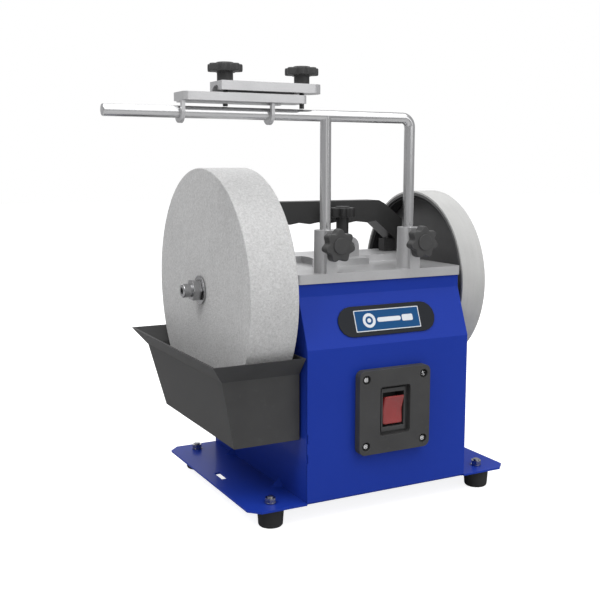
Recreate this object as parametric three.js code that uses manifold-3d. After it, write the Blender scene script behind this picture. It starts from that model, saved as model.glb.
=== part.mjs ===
// Wet-stone bench grinder: a sheet-steel housing with a cast top, a slow grindstone running in a
// water trough on the left, a leather honing wheel on the right, and a tool rest over the stone.
// Millimetres. X runs along the spindle to the honing wheel, -Y is the front, +Z is up. While it is
// built, X = 0 is the middle of the housing, Y = 0 the spindle's axis and Z = 0 the bench.
import * as THREE from "three";
import { ConvexGeometry } from "three/addons/geometries/ConvexGeometry.js";
import { mergeVertices } from "three/addons/utils/BufferGeometryUtils.js";
import Module from "manifold-3d";

const wasm = await Module();
wasm.setup();

// ---- fits between pieces ------------------------------------------------------------------------
const GAP = 0.3; // between two pieces that touch
const RUNNING = 0.08; // radial, for what turns or slides in a hole
const BITE = 0.6; // how far two joined shapes of one casting run into each other

// ---- housing of bent sheet ----------------------------------------------------------------------
const SHEET = 2;
const HOUSING_WIDTH = 191;
const HOUSING_FRONT = 121.5; // from the spindle's axis to the front face
const HOUSING_BACK = 115; // from the spindle's axis to the back face
const LOWER_FRONT_HEIGHT = 152.6; // the upright part of the front, above the flanges
const SLANT_HEIGHT = 49.4;
const SLANT_SETBACK = 19;
const STRIP_HEIGHT = 12.4; // the short upright part under the top plate
const FLANGE_WIDTH = 60;
const FLANGE_CHAMFER = 11;
const DART_LEG = 9.5; // stiffening darts pressed into the bend of the flange
const DART_HALF_LENGTH = 9;
const DART_Y = 60;
const FLANGE_SLOT = { length: 22, width: 7, outset: 43, y: -5 };
const TAB_SLOT = { height: 9, depth: 1.1, first: 40, step: 20 };
const VENT = { rows: 7, pitch: 11, length: 52, height: 4, inset: 24, bottom: 92 };

// ---- feet and their studs -----------------------------------------------------------------------
const FOOT_HEIGHT = 20.4;
const FOOT_TOP_RADIUS = 13.6;
const FOOT_BOTTOM_RADIUS = 12.3;
const FOOT_INSET = 19; // from the flange's front and back edges
const FOOT_OUTSET = 31; // from the housing's wall
const STUD_RADIUS = 3.2;
const STUD_DEPTH = 12;
const STUD_NUT = { across: 10, height: 4.5, washerRadius: 5.6, washerThickness: 1.2, tip: 1.5 };

// ---- cast top plate -----------------------------------------------------------------------------
const PLATE_THICKNESS = 9.4;
const PLATE_OVERHANG = 2.2;
const PLATE_CORNER = 5;
const SLEEVE_HEIGHT = 42; // above the plate
const SLEEVE_WALL = 5.4;
const SLEEVE_DRAFT = 0.6; // how much wider the sleeves are at the foot
const SLEEVE_FROM_EDGE = 14; // bore's axis to the plate's front edge
const LEFT_SLEEVE_INSET = 36; // bore's axis to the housing's left wall
const BOSS_WIDTH = 12;
const CLAMP_SCREW_RADIUS = 3;
const CLAMP_SCREW_BELOW_TOP = 14;
const PLATFORM = { height: 7, front: -47, step: -20, back: 42, left: -50, middle: 19, beforeHandle: 4 };
const LEVEL_SLEEVE = { x: 5, front: -31, back: 7, rise: 11.2, screwY: -12 };
const SCOOP = { x: -98, y: -7, radius: 62 }; // rounds the platform's left side
const FOOT_PAD_MARGIN = 0.7; // pads under the handle's feet, to the plate's edge

// ---- tool rest: a bent bar on two legs ----------------------------------------------------------
const BAR_RADIUS = 5.5;
const LEG_SPACING = 98;
const BAR_ABOVE_STONE = 49.8; // the bar's axis above the top of the stone
const BAR_REACH = 220.5; // from the left leg's axis to the bar's free end
const BEND_RADIUS = 9;
const LEG_DEPTH_IN_PLATE = 4; // how far the legs stand out under the top plate

// ---- star knobs ---------------------------------------------------------------------------------
const STAR_KNOB = { radius: 16.6, lobes: 7, scallop: 4.6, head: 12, hub: 5, hubRadius: 9, cap: 8 };
const LEVEL_KNOB = { radius: 14.4, lobes: 7, scallop: 3.8, head: 12, hub: 19.5, hubRadius: 6.8, cap: 8 };
const JIG_KNOB = { radius: 16.5, lobes: 7, scallop: 3.6, head: 8.5, hub: 8.2, hubRadius: 7.4, cap: 8 };

// ---- straight-edge jig on the bar ---------------------------------------------------------------
const JIG_LEFT = -79.5; // jig's left end from the stone's middle plane, along the bar
const JIG_BASE = { length: 123.8, width: 30, thickness: 7.4, riseAboveBar: 4.6, corner: 5 };
const JIG_RIB = { height: 1.8, width: 8, length: 101 };
const HOOK = { thickness: 3.2, wall: 4.3, spacing: 88.3, tip: 2 };
const JAW_GAP = 2.5;
const CLAMP_BAR = { length: 106.5, width: 28, height: 8.4, wall: 2.6, left: 36.5, nose: 12 };
const CHANNEL_DROP = 6.5; // axis of the clamp bar's hollow, under its lower face
const JIG_SCREW = { radius: 2.3, clearance: 0.5, left: 45, spacing: 79, aboveBar: 0.6 };
const JIG_BOSS_WALL = 4;

// ---- grindstone, spindle and honing wheel -------------------------------------------------------
const AXIS_BELOW_PLATE_TOP = 22.5;
const STONE_DIAMETER = 250;
const STONE_WIDTH = 50;
const STONE_GAP = 10.5; // housing wall to the stone
const SHAFT_RADIUS = 6;
const SHAFT_FACETS = 24; // the same on a shaft and in what runs on it
const STONE_WASHER = { radius: 15, thickness: 2.2, innerRadius: 22, innerThickness: 5 };
const STONE_NUT = { across: 20, hex: 8.8, collarRadius: 7.1, collar: 9.6, socketRadius: 3.4 };
const HONING_DIAMETER = 197.5;
const HONING_WIDTH = 31;
const HONING_GAP = 9; // housing wall to the honing wheel
const LEATHER_THICKNESS = 2.2;
const HONING_RIM = 2.6;
const HONING_WEB = 4;
const HONING_WEB_SET_IN = 7; // behind the rim's outer edge
const HONING_HUB_RADIUS = 17;
const LINING_THICKNESS = 2.4; // rubber on the inside of the rim
const LINING_WIDTH = 15;
const LINING_SET_IN = 2;
const LINING_FACETS = 96; // fine enough for the roller's small gap
const HONING_RIBS = { count: 8, thickness: 4, height: 4 };
const HONING_NUT = { across: 19, height: 9, washerRadius: 12, washer: 2, shaftPast: 12 };
const BUSH = { wall: 3, length: 16, flangeRadius: 12, flange: 3 };

// ---- motor, hung on a cradle so that its weight presses its roller on the lining ----------------
const ROLLER_RADIUS = SHAFT_RADIUS; // the roller is the motor shaft's own end
const ROLLER_GAP = 0.15; // roller to lining
const MOTOR = { radius: 50, left: -32, length: 92, bore: 27, airGap: 0.6 };
const BELL = { length: 15, radius: 46, wall: 4, edge: 6, shoulder: 8, inner: 10 };
const CORE_INSET = 6; // the rotor's core to the stator's ends
const CRADLE = { thickness: 3, width: 84, pivotY: 88, pivotZDrop: 30, barrel: 7.5, ear: 12 };
const CRADLE_ROD = { radius: 4, end: 7 };
const CAPACITOR = { radius: 17, length: 62, fromFront: 52, fromWall: 34 };

// ---- trough -------------------------------------------------------------------------------------
const TROUGH_WALL = 2.5;
const TROUGH_FLOOR_CLEARANCE = 12; // floor to the stone
const TROUGH_HEIGHT = 84;
const TROUGH_LIP_RISE = 16;
const TROUGH_LIP_FLARE = 14;
const TROUGH_END_CLEARANCE = 4; // wall to stone at the lip's foot, front and back
const TROUGH_SIDE_CLEARANCE = 21;
const TROUGH_BACK_TAPER = 26;
const TROUGH_SIDE_TAPER = 12;
const TROUGH_FROM_WALL = 2.2;
const TROUGH_DROP = 40;
const TROUGH_PIN = { radius: 3, headRadius: 5.5, head: 2, y: 62, aboveFloor: 38 };

// ---- carrying handle ----------------------------------------------------------------------------
const HANDLE = { front: 7, depth: 27, top: 66, grip: 23, outset: 1, waves: 5, wave: 2, corner: 4 };
const HANDLE_ARM = { outer: 27.5, drop: 22, inner: 35.5, foot: 9 }; // from the handle's end
const HANDLE_FOOT = { width: 22, height: 14, front: 3, depth: 12 };
const HANDLE_SCREW_RADIUS = 3;
const HANDLE_SCREW_DEPTH = 10; // into the foot
const SMALL_HEX = { across: 10, height: 4.5 };

// ---- switch and badge ---------------------------------------------------------------------------
const SWITCH_PLATE = { width: 84, height: 86, thickness: 9, corner: 7, x: 0, aboveFlange: 85.4 };
const SWITCH_RECESS = { width: 35.6, height: 50, depth: 6, corner: 3 };
const SWITCH_SCREW = { spacing: 68, radius: 3.4, sink: 1.4, height: 2.2, bore: 4.6 };
const SWITCH_BODY = { width: 29, height: 44, depth: 24 };
const ROCKER = { width: 24, height: 31, depth: 12, crown: 4, tilt: 8, window: 0.5 };
const BADGE = { width: 115, height: 31, thickness: 1, along: 24.3 };
const GLAND = { x: 52, aboveFlange: 34, radius: 9, length: 17, cableRadius: 4 };

// ---- places worked out from the sizes above -----------------------------------------------------
const wallX = HOUSING_WIDTH / 2;
const flangeTop = FOOT_HEIGHT + SHEET;
const firstBend = flangeTop + LOWER_FRONT_HEIGHT;
const secondBend = firstBend + SLANT_HEIGHT;
const housingTop = secondBend + STRIP_HEIGHT;
const plateBottom = housingTop + GAP;
const plateTop = plateBottom + PLATE_THICKNESS;
const axisZ = plateTop - AXIS_BELOW_PLATE_TOP;
const stripY = -HOUSING_FRONT + SLANT_SETBACK;
const slantAngle = Math.atan2(SLANT_SETBACK, SLANT_HEIGHT);
const plateFront = stripY - PLATE_OVERHANG;
const plateBack = HOUSING_BACK + PLATE_OVERHANG;
const sleeveY = plateFront + SLEEVE_FROM_EDGE;
const sleeveRadius = BAR_RADIUS + SLEEVE_WALL;
const sleeveTop = plateTop + SLEEVE_HEIGHT;
const leftSleeveX = -wallX + LEFT_SLEEVE_INSET;
const stoneRadius = STONE_DIAMETER / 2;
const stoneInner = -wallX - STONE_GAP;
const stoneOuter = stoneInner - STONE_WIDTH;
const barZ = axisZ + stoneRadius + BAR_ABOVE_STONE;
const honingInner = wallX + HONING_GAP;
const honingOuter = honingInner + HONING_WIDTH;
const honingRadius = HONING_DIAMETER / 2;
const rimInner = honingRadius - LEATHER_THICKNESS - GAP - HONING_RIM;
const liningRadius = rimInner - GAP - LINING_THICKNESS;
const motorZ = axisZ - liningRadius + ROLLER_GAP + ROLLER_RADIUS;
const jigX = (stoneInner + stoneOuter) / 2 + JIG_LEFT;
const footX = wallX + FOOT_OUTSET;
const footYs = { front: -HOUSING_FRONT + FOOT_INSET, rear: HOUSING_BACK - FOOT_INSET };

// ---- finishes -----------------------------------------------------------------------------------
const finishes = {
  bluePaint: { color: 0x1d2c9a, roughness: 0.28, metalness: 0.0 },
  castAlloy: { color: 0xb9bbbd, roughness: 0.45, metalness: 0.8 },
  darkPlastic: { color: 0x35373a, roughness: 0.55, metalness: 0.0 },
  blackPlastic: { color: 0x1c1d1f, roughness: 0.5, metalness: 0.0 },
  rubber: { color: 0x161616, roughness: 0.9, metalness: 0.0 },
  brightSteel: { color: 0xc6c8ca, roughness: 0.25, metalness: 1.0 },
  castGrey: { color: 0x9a9da0, roughness: 0.4, metalness: 0.9 },
  stone: { color: 0xb4b4b2, roughness: 0.95, metalness: 0.0 },
  leather: { color: 0xc4c1bb, roughness: 0.8, metalness: 0.0 },
  redPlastic: { color: 0x8f2b2b, roughness: 0.25, metalness: 0.0 },
  badge: { color: 0x12161c, roughness: 0.4, metalness: 0.0 },
  bronze: { color: 0x9a7440, roughness: 0.4, metalness: 1.0 },
  motorSteel: { color: 0x74777b, roughness: 0.5, metalness: 0.8 },
};

// ---- shape helpers ------------------------------------------------------------------------------
function solidOf(geometry) {
  geometry.deleteAttribute("normal");
  geometry.deleteAttribute("uv");
  const merged = mergeVertices(geometry, 1e-4);
  const vertProperties = new Float32Array(merged.attributes.position.array);
  const triVerts = new Uint32Array(merged.index.array);
  return new wasm.Manifold(new wasm.Mesh({ numProp: 3, vertProperties, triVerts }));
}

function unite(...solids) {
  return solids.flat(Infinity).reduce((whole, next) => whole.add(next));
}

function cutFrom(body, ...tools) {
  return tools.flat(Infinity).reduce((rest, tool) => rest.subtract(tool), body);
}

function box(x, y, z) {
  const geometry = new THREE.BoxGeometry(x[1] - x[0], y[1] - y[0], z[1] - z[0]);
  geometry.translate((x[0] + x[1]) / 2, (y[0] + y[1]) / 2, (z[0] + z[1]) / 2);
  return solidOf(geometry);
}

// Turns a shape drawn about its own Y axis to lie along X, Y or Z.
function layAlong(geometry, axis) {
  if (axis === "x") geometry.rotateZ(-Math.PI / 2);
  if (axis === "z") geometry.rotateX(Math.PI / 2);
  return geometry;
}

// A ring of revolution: the closed profile is a list of [radius, place along the axis].
function turned(profile, axis, segments, at = [0, 0, 0]) {
  const points = profile.map(([radius, along]) => new THREE.Vector2(radius, along));
  const closed = profile[0][0] > 0 || profile[profile.length - 1][0] > 0;
  if (closed) points.push(points[0].clone());
  const geometry = layAlong(new THREE.LatheGeometry(points, segments), axis);
  geometry.translate(...at);
  return outwards(solidOf(geometry), geometry);
}

// A closed profile may be listed either way round; this keeps the faces pointing out.
function outwards(solid, geometry) {
  if (solid.volume() > 0) return solid;
  const flipped = mergeVertices(geometry, 1e-4);
  const order = flipped.index.array;
  for (let i = 0; i < order.length; i += 3) {
    [order[i + 1], order[i + 2]] = [order[i + 2], order[i + 1]];
  }
  return solidOf(flipped);
}

function rod(axis, radius, from, to, at = [0, 0, 0], segments = 24, endRadius = radius) {
  const profile = [[0, from], [radius, from], [endRadius, to], [0, to]];
  return turned(profile, axis, segments, at);
}

// Extrudes a flat outline. "yz" outlines run along X, "xz" outlines along Y, "xy" outlines along Z.
function slab(outline, plane, from, to) {
  const shape = outline instanceof THREE.Shape ? outline : shapeOf(outline);
  const options = { depth: to - from, bevelEnabled: false, curveSegments: 4 };
  const geometry = new THREE.ExtrudeGeometry(shape, options);
  const turn = new THREE.Matrix4();
  const place = new THREE.Matrix4();
  if (plane === "yz") {
    turn.makeBasis(new THREE.Vector3(0, 1, 0), new THREE.Vector3(0, 0, 1), new THREE.Vector3(1, 0, 0));
    place.makeTranslation(from, 0, 0);
  } else if (plane === "xz") {
    turn.makeBasis(new THREE.Vector3(1, 0, 0), new THREE.Vector3(0, 0, 1), new THREE.Vector3(0, -1, 0));
    place.makeTranslation(0, to, 0);
  } else {
    place.makeTranslation(0, 0, from);
  }
  geometry.applyMatrix4(turn);
  geometry.applyMatrix4(place);
  return solidOf(geometry);
}

function shapeOf(points) {
  return new THREE.Shape(points.map(([u, v]) => new THREE.Vector2(u, v)));
}

function roundedRectangle(u, v, radius) {
  const shape = new THREE.Shape();
  shape.moveTo(u[0] + radius, v[0]);
  shape.lineTo(u[1] - radius, v[0]);
  shape.absarc(u[1] - radius, v[0] + radius, radius, -Math.PI / 2, 0);
  shape.lineTo(u[1], v[1] - radius);
  shape.absarc(u[1] - radius, v[1] - radius, radius, 0, Math.PI / 2);
  shape.lineTo(u[0] + radius, v[1]);
  shape.absarc(u[0] + radius, v[1] - radius, radius, Math.PI / 2, Math.PI);
  shape.lineTo(u[0], v[0] + radius);
  shape.absarc(u[0] + radius, v[0] + radius, radius, Math.PI, Math.PI * 1.5);
  return shape;
}

function hexagon(across) {
  const corner = across / Math.sqrt(3);
  const points = [];
  for (let i = 0; i < 6; i += 1) {
    const angle = (Math.PI / 3) * i;
    points.push([corner * Math.cos(angle), corner * Math.sin(angle)]);
  }
  return points;
}

function meshOf(name, solid, finish) {
  const { vertProperties, triVerts } = solid.getMesh();
  const geometry = new THREE.BufferGeometry();
  geometry.setAttribute("position", new THREE.BufferAttribute(new Float32Array(vertProperties), 3));
  geometry.setIndex(new THREE.BufferAttribute(new Uint32Array(triVerts), 1));
  geometry.computeVertexNormals();
  const mesh = new THREE.Mesh(geometry, new THREE.MeshStandardMaterial(finishes[finish]));
  mesh.name = name;
  return mesh;
}

// ---- housing ------------------------------------------------------------------------------------
// The front's outline in the YZ plane, moved inwards by `inset`.
function frontLine(inset) {
  const drop = inset * Math.tan(slantAngle / 2);
  return [
    [-HOUSING_FRONT + inset, flangeTop],
    [-HOUSING_FRONT + inset, firstBend - drop],
    [stripY + inset, secondBend - drop],
    [stripY + inset, housingTop],
  ];
}

function flangeOutline(side) {
  const inner = side * (wallX - SHEET);
  const outer = side * (wallX + FLANGE_WIDTH);
  const chamfered = outer - side * FLANGE_CHAMFER;
  return [
    [inner, -HOUSING_FRONT], [chamfered, -HOUSING_FRONT], [outer, -HOUSING_FRONT + FLANGE_CHAMFER],
    [outer, HOUSING_BACK - FLANGE_CHAMFER], [chamfered, HOUSING_BACK], [inner, HOUSING_BACK],
  ];
}

function dart(side, y) {
  const bend = side * (wallX - SHEET / 2);
  const low = flangeTop - SHEET / 2;
  const points = [
    [bend, y - DART_HALF_LENGTH, low], [bend, y + DART_HALF_LENGTH, low],
    [side * (wallX + DART_LEG), y, flangeTop], [bend, y, flangeTop + DART_LEG],
    [bend, y, low], [side * (wallX + DART_LEG), y, low],
  ];
  return solidOf(new ConvexGeometry(points.map((point) => new THREE.Vector3(...point))));
}

function span(a, b) {
  return [Math.min(a, b), Math.max(a, b)];
}

function sidePanel(side) {
  const back = HOUSING_BACK - SHEET - GAP;
  const outline = [...frontLine(SHEET + GAP), [back, housingTop], [back, FOOT_HEIGHT],
    [-HOUSING_FRONT + SHEET + GAP, FOOT_HEIGHT]];
  const wall = slab(outline, "yz", ...span(side * (wallX - SHEET), side * wallX));
  const flange = slab(flangeOutline(side), "xy", FOOT_HEIGHT, flangeTop);
  const clearOfPanels = [
    box(span(side * (wallX - 3 * SHEET), side * wallX), [-HOUSING_FRONT - 1, -HOUSING_FRONT + SHEET + GAP],
      [FOOT_HEIGHT - 1, flangeTop + 1]),
    box(span(side * (wallX - 3 * SHEET), side * wallX), [back, HOUSING_BACK + 1],
      [FOOT_HEIGHT - 1, flangeTop + 1]),
  ];
  const studHoles = Object.values(footYs).map((y) =>
    rod("z", STUD_RADIUS + GAP, FOOT_HEIGHT - 1, flangeTop + 1, [side * footX, y, 0], 16));
  const axleHole = rod("x", SHAFT_RADIUS + BUSH.wall + GAP, -2 * wallX, 2 * wallX, [0, 0, axisZ], 32);
  let panel = unite(wall, flange);
  panel = cutFrom(panel, clearOfPanels);
  panel = unite(panel, dart(side, -DART_Y), dart(side, DART_Y));
  return cutFrom(panel, studHoles, axleHole.intersect(box(span(0, side * 2 * wallX), [-40, 40],
    [axisZ - 40, axisZ + 40])));
}

function leftSidePanel() {
  const slotX = -wallX - FLANGE_SLOT.outset;
  const slot = box([slotX - FLANGE_SLOT.width / 2, slotX + FLANGE_SLOT.width / 2],
    [FLANGE_SLOT.y - FLANGE_SLOT.length / 2, FLANGE_SLOT.y + FLANGE_SLOT.length / 2],
    [FOOT_HEIGHT - 1, flangeTop + 1]);
  const pinHoles = [-1, 1].map((end) => rod("x", TROUGH_PIN.radius + GAP, -wallX - 1, -wallX + SHEET + 1,
    [0, end * TROUGH_PIN.y, troughPinZ()], 16));
  return meshOf("left_side_panel", cutFrom(sidePanel(-1), slot, pinHoles), "bluePaint");
}

function rightSidePanel() {
  const slotHalf = ROLLER_RADIUS + 4;
  const rollerSlot = box([wallX - SHEET - 1, wallX + 1], [-slotHalf, slotHalf],
    [motorZ - slotHalf, motorZ + slotHalf]);
  return meshOf("right_side_panel", cutFrom(sidePanel(1), rollerSlot), "bluePaint");
}

function frontPanel() {
  const outline = [...frontLine(0), ...frontLine(SHEET).reverse()];
  const sheet = slab(outline, "yz", -wallX, wallX);
  const centre = switchCentreZ();
  const halfX = SWITCH_BODY.width / 2 + GAP;
  const halfZ = SWITCH_BODY.height / 2 + GAP;
  const opening = box([SWITCH_PLATE.x - halfX, SWITCH_PLATE.x + halfX],
    [-HOUSING_FRONT - 1, -HOUSING_FRONT + SHEET + 1], [centre - halfZ, centre + halfZ]);
  const tabs = [0, 1].map((i) => box([-wallX - 1, -wallX + TAB_SLOT.depth],
    [-HOUSING_FRONT - 1, -HOUSING_FRONT + SHEET + 1],
    [flangeTop + TAB_SLOT.first + i * TAB_SLOT.step, flangeTop + TAB_SLOT.first + i * TAB_SLOT.step
      + TAB_SLOT.height]));
  return meshOf("front_panel", cutFrom(sheet, opening, tabs), "bluePaint");
}

function backPanel() {
  const sheet = box([-wallX, wallX], [HOUSING_BACK - SHEET, HOUSING_BACK], [FOOT_HEIGHT, housingTop]);
  const vents = [];
  for (const side of [-1, 1]) {
    const middle = side * (VENT.length / 2 + VENT.inset / 2);
    for (let row = 0; row < VENT.rows; row += 1) {
      const low = VENT.bottom + row * VENT.pitch;
      vents.push(box([middle - VENT.length / 2, middle + VENT.length / 2],
        [HOUSING_BACK - SHEET - 1, HOUSING_BACK + 1], [low, low + VENT.height]));
    }
  }
  const glandHole = rod("y", GLAND.radius - 2 + GAP, HOUSING_BACK - SHEET - 1, HOUSING_BACK + 1,
    [GLAND.x, 0, flangeTop + GLAND.aboveFlange], 24);
  return meshOf("back_panel", cutFrom(sheet, vents, glandHole), "bluePaint");
}

function bottomPlate() {
  const x = wallX - SHEET - GAP;
  const front = -HOUSING_FRONT + SHEET + GAP;
  const back = HOUSING_BACK - SHEET - GAP;
  const sheet = box([-x, x], [front, back], [FOOT_HEIGHT, flangeTop]);
  const slots = [];
  for (let i = -2; i <= 2; i += 1) {
    slots.push(box([-VENT.length / 2, VENT.length / 2], [i * VENT.pitch - 2, i * VENT.pitch + 2],
      [FOOT_HEIGHT - 1, flangeTop + 1]));
  }
  return meshOf("bottom_plate", cutFrom(sheet, slots), "bluePaint");
}

// ---- feet ---------------------------------------------------------------------------------------
function foot() {
  const profile = [
    [0, 3], [6, 3], [7, 0], [FOOT_BOTTOM_RADIUS - 1.5, 0], [FOOT_BOTTOM_RADIUS, 1.5],
    [FOOT_TOP_RADIUS, FOOT_HEIGHT - 1.5 - GAP], [FOOT_TOP_RADIUS - 1, FOOT_HEIGHT - GAP],
    [STUD_RADIUS + GAP, FOOT_HEIGHT - GAP],
    [STUD_RADIUS + GAP, FOOT_HEIGHT - STUD_DEPTH - GAP], [0, FOOT_HEIGHT - STUD_DEPTH - GAP],
  ];
  return turned(profile, "z", 20);
}

function footStud() {
  const seat = flangeTop + GAP;
  const nutSeat = seat + STUD_NUT.washerThickness;
  const tip = nutSeat + STUD_NUT.height + STUD_NUT.tip;
  const stem = rod("z", STUD_RADIUS, FOOT_HEIGHT - STUD_DEPTH, tip, [0, 0, 0], 12);
  const washer = rod("z", STUD_NUT.washerRadius, seat, nutSeat, [0, 0, 0], 16);
  const nut = slab(hexagon(STUD_NUT.across), "xy", nutSeat - BITE / 2, nutSeat + STUD_NUT.height);
  return unite(stem, washer, nut);
}

function feet() {
  const meshes = [];
  for (const [end, y] of Object.entries(footYs)) {
    for (const [hand, side] of [["left", -1], ["right", 1]]) {
      const pieces = [meshOf(`foot_${end}_${hand}`, foot(), "rubber"),
        meshOf(`foot_stud_${end}_${hand}`, footStud(), "brightSteel")];
      pieces.forEach((mesh) => mesh.position.set(side * footX, y, 0));
      meshes.push(...pieces);
    }
  }
  return meshes;
}

// ---- cast top -----------------------------------------------------------------------------------
function sleeveXs() {
  return [leftSleeveX, leftSleeveX + LEG_SPACING];
}

function uprightSleeve(x) {
  const low = plateBottom + 1;
  const column = rod("z", sleeveRadius + SLEEVE_DRAFT, low, sleeveTop, [x, sleeveY, 0], 32, sleeveRadius);
  const boss = box([x - BOSS_WIDTH / 2, x + BOSS_WIDTH / 2], [plateFront, sleeveY], [low, sleeveTop]);
  return unite(column, boss);
}

function uprightBores(x) {
  const bore = rod("z", BAR_RADIUS + RUNNING, plateBottom - 1, sleeveTop + 1, [x, sleeveY, 0], 24);
  const screwHole = rod("y", CLAMP_SCREW_RADIUS + GAP, plateFront - 1, sleeveY,
    [x, 0, sleeveTop - CLAMP_SCREW_BELOW_TOP], 16);
  return [bore, screwHole];
}

function levelBoreZ() {
  return plateTop + PLATFORM.height + LEVEL_SLEEVE.rise;
}

function levelSleeve() {
  const z = levelBoreZ();
  const barrel = rod("y", sleeveRadius, LEVEL_SLEEVE.front, LEVEL_SLEEVE.back, [LEVEL_SLEEVE.x, 0, z], 28);
  const pedestal = box([LEVEL_SLEEVE.x - sleeveRadius, LEVEL_SLEEVE.x + sleeveRadius],
    [LEVEL_SLEEVE.front, LEVEL_SLEEVE.back], [plateTop, z]);
  return unite(barrel, pedestal);
}

function levelBores() {
  const z = levelBoreZ();
  const bore = rod("y", BAR_RADIUS + RUNNING, LEVEL_SLEEVE.front - 1, LEVEL_SLEEVE.back + 1,
    [LEVEL_SLEEVE.x, 0, z], 24);
  const screwHole = rod("z", CLAMP_SCREW_RADIUS + GAP, z, z + 2 * sleeveRadius,
    [LEVEL_SLEEVE.x, LEVEL_SLEEVE.screwY, 0], 16);
  return [bore, screwHole];
}

// The raised middle of the plate; its left side is scooped out and the handle's feet have pads.
function platform() {
  const right = wallX - PLATE_CORNER;
  const stripFront = HANDLE.front - PLATFORM.beforeHandle;
  const outline = [
    [PLATFORM.left, PLATFORM.front], [PLATFORM.middle, PLATFORM.front], [PLATFORM.middle, PLATFORM.step],
    [right, PLATFORM.step], [right, PLATFORM.back], [-right, PLATFORM.back], [-right, stripFront],
    [PLATFORM.left, stripFront],
  ];
  const low = plateTop - BITE;
  const high = plateTop + PLATFORM.height;
  const scoop = rod("z", SCOOP.radius, low - 1, high + 1, [SCOOP.x, SCOOP.y, 0], 60)
    .intersect(box([-2 * wallX, 0], [2 * PLATFORM.front, stripFront], [low - 2, high + 2]));
  const padInner = handleHalf() - HANDLE_FOOT.width - PLATFORM.beforeHandle;
  const padOuter = wallX + PLATE_OVERHANG - FOOT_PAD_MARGIN;
  const pads = [-1, 1].map((side) => box(span(side * padInner, side * padOuter), [stripFront, PLATFORM.back],
    [low, high]));
  return unite(cutFrom(slab(outline, "xy", low, high), scoop), pads);
}

function topPlate() {
  const x = wallX + PLATE_OVERHANG;
  const slabOutline = roundedRectangle([-x, x], [plateFront, plateBack], PLATE_CORNER);
  const plate = slab(slabOutline, "xy", plateBottom, plateTop);
  const sleeves = sleeveXs().map(uprightSleeve);
  const whole = unite(plate, platform(), sleeves, levelSleeve());
  const handleHoles = handleFootXs().map((footX) => rod("z", HANDLE_SCREW_RADIUS + GAP, plateBottom - 1,
    plateTop + PLATFORM.height + 1, [footX, handleFootY(), 0], 16));
  const bored = cutFrom(whole, sleeveXs().map(uprightBores), levelBores(), handleHoles);
  return meshOf("top_plate", bored, "castAlloy");
}

// ---- star knobs: drawn with the head's outer face up and the seat of the hub at z = 0 -----------
function starOutline(knob) {
  const points = [];
  const steps = 4;
  for (let i = 0; i < knob.lobes * steps; i += 1) {
    const angle = (2 * Math.PI * i) / (knob.lobes * steps);
    const wave = (1 + Math.cos(knob.lobes * angle)) / 2;
    const radius = knob.radius - knob.scallop * (1 - Math.sqrt(wave));
    points.push([radius * Math.cos(angle), radius * Math.sin(angle)]);
  }
  return points;
}

function starKnob(knob, screwRadius, screwLength) {
  const head = slab(starOutline(knob), "xy", knob.hub, knob.hub + knob.head - 1);
  const cap = rod("z", knob.cap, knob.hub + knob.head - 1 - BITE, knob.hub + knob.head, [0, 0, 0], 20);
  const hub = rod("z", knob.hubRadius - 0.5, 0, knob.hub + BITE, [0, 0, 0], 18, knob.hubRadius);
  const screw = rod("z", screwRadius, -screwLength, BITE, [0, 0, 0], 12);
  return unite(head, cap, hub, screw);
}

function sleeveKnobs() {
  const screwLength = SLEEVE_FROM_EDGE - BAR_RADIUS - GAP;
  return sleeveXs().map((x, i) => {
    const solid = starKnob(STAR_KNOB, CLAMP_SCREW_RADIUS, screwLength);
    const mesh = meshOf(`sleeve_knob_${["left", "right"][i]}`, solid, "blackPlastic");
    mesh.rotation.x = Math.PI / 2;
    mesh.position.set(x, plateFront - GAP, sleeveTop - CLAMP_SCREW_BELOW_TOP);
    return mesh;
  });
}

function levelSleeveKnob() {
  const screwLength = sleeveRadius - BAR_RADIUS - GAP;
  const solid = starKnob(LEVEL_KNOB, CLAMP_SCREW_RADIUS, screwLength);
  const mesh = meshOf("level_sleeve_knob", solid, "blackPlastic");
  mesh.position.set(LEVEL_SLEEVE.x, LEVEL_SLEEVE.screwY, levelBoreZ() + sleeveRadius + GAP);
  return mesh;
}

// ---- tool rest ----------------------------------------------------------------------------------
function universalSupport() {
  const [leftX, rightX] = sleeveXs();
  const legBottom = plateBottom - LEG_DEPTH_IN_PLATE;
  const freeEnd = leftX - BAR_REACH;
  const bar = rod("x", BAR_RADIUS, freeEnd + 1, rightX - BEND_RADIUS, [0, sleeveY, barZ], 24);
  const tip = rod("x", BAR_RADIUS - 1, freeEnd, freeEnd + 1, [0, sleeveY, barZ], 24, BAR_RADIUS);
  const leftLeg = rod("z", BAR_RADIUS, legBottom, barZ, [leftX, sleeveY, 0], 24);
  const rightLeg = rod("z", BAR_RADIUS, legBottom, barZ - BEND_RADIUS, [rightX, sleeveY, 0], 24);
  return meshOf("universal_support", unite(bar, tip, leftLeg, rightLeg, bentCorner(rightX)), "brightSteel");
}

// The tight bend between the bar and its right leg: a tube along a quarter circle.
class QuarterBend extends THREE.Curve {
  constructor(x) {
    super();
    this.x = x - BEND_RADIUS;
  }

  getPoint(t, target = new THREE.Vector3()) {
    const lap = 0.01;
    const turn = (Math.PI / 2 + 2 * lap) * t - lap;
    const drop = BEND_RADIUS * (1 - Math.cos(turn));
    return target.set(this.x + BEND_RADIUS * Math.sin(turn), sleeveY, barZ - drop);
  }
}

function bentCorner(x) {
  const section = new THREE.Shape();
  section.absarc(0, 0, BAR_RADIUS, 0, 2 * Math.PI);
  const options = { steps: 6, bevelEnabled: false, extrudePath: new QuarterBend(x), curveSegments: 10 };
  return solidOf(new THREE.ExtrudeGeometry(section, options));
}

// ---- straight-edge jig --------------------------------------------------------------------------
function jigBaseZ() {
  return barZ + BAR_RADIUS + JIG_BASE.riseAboveBar;
}

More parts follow.
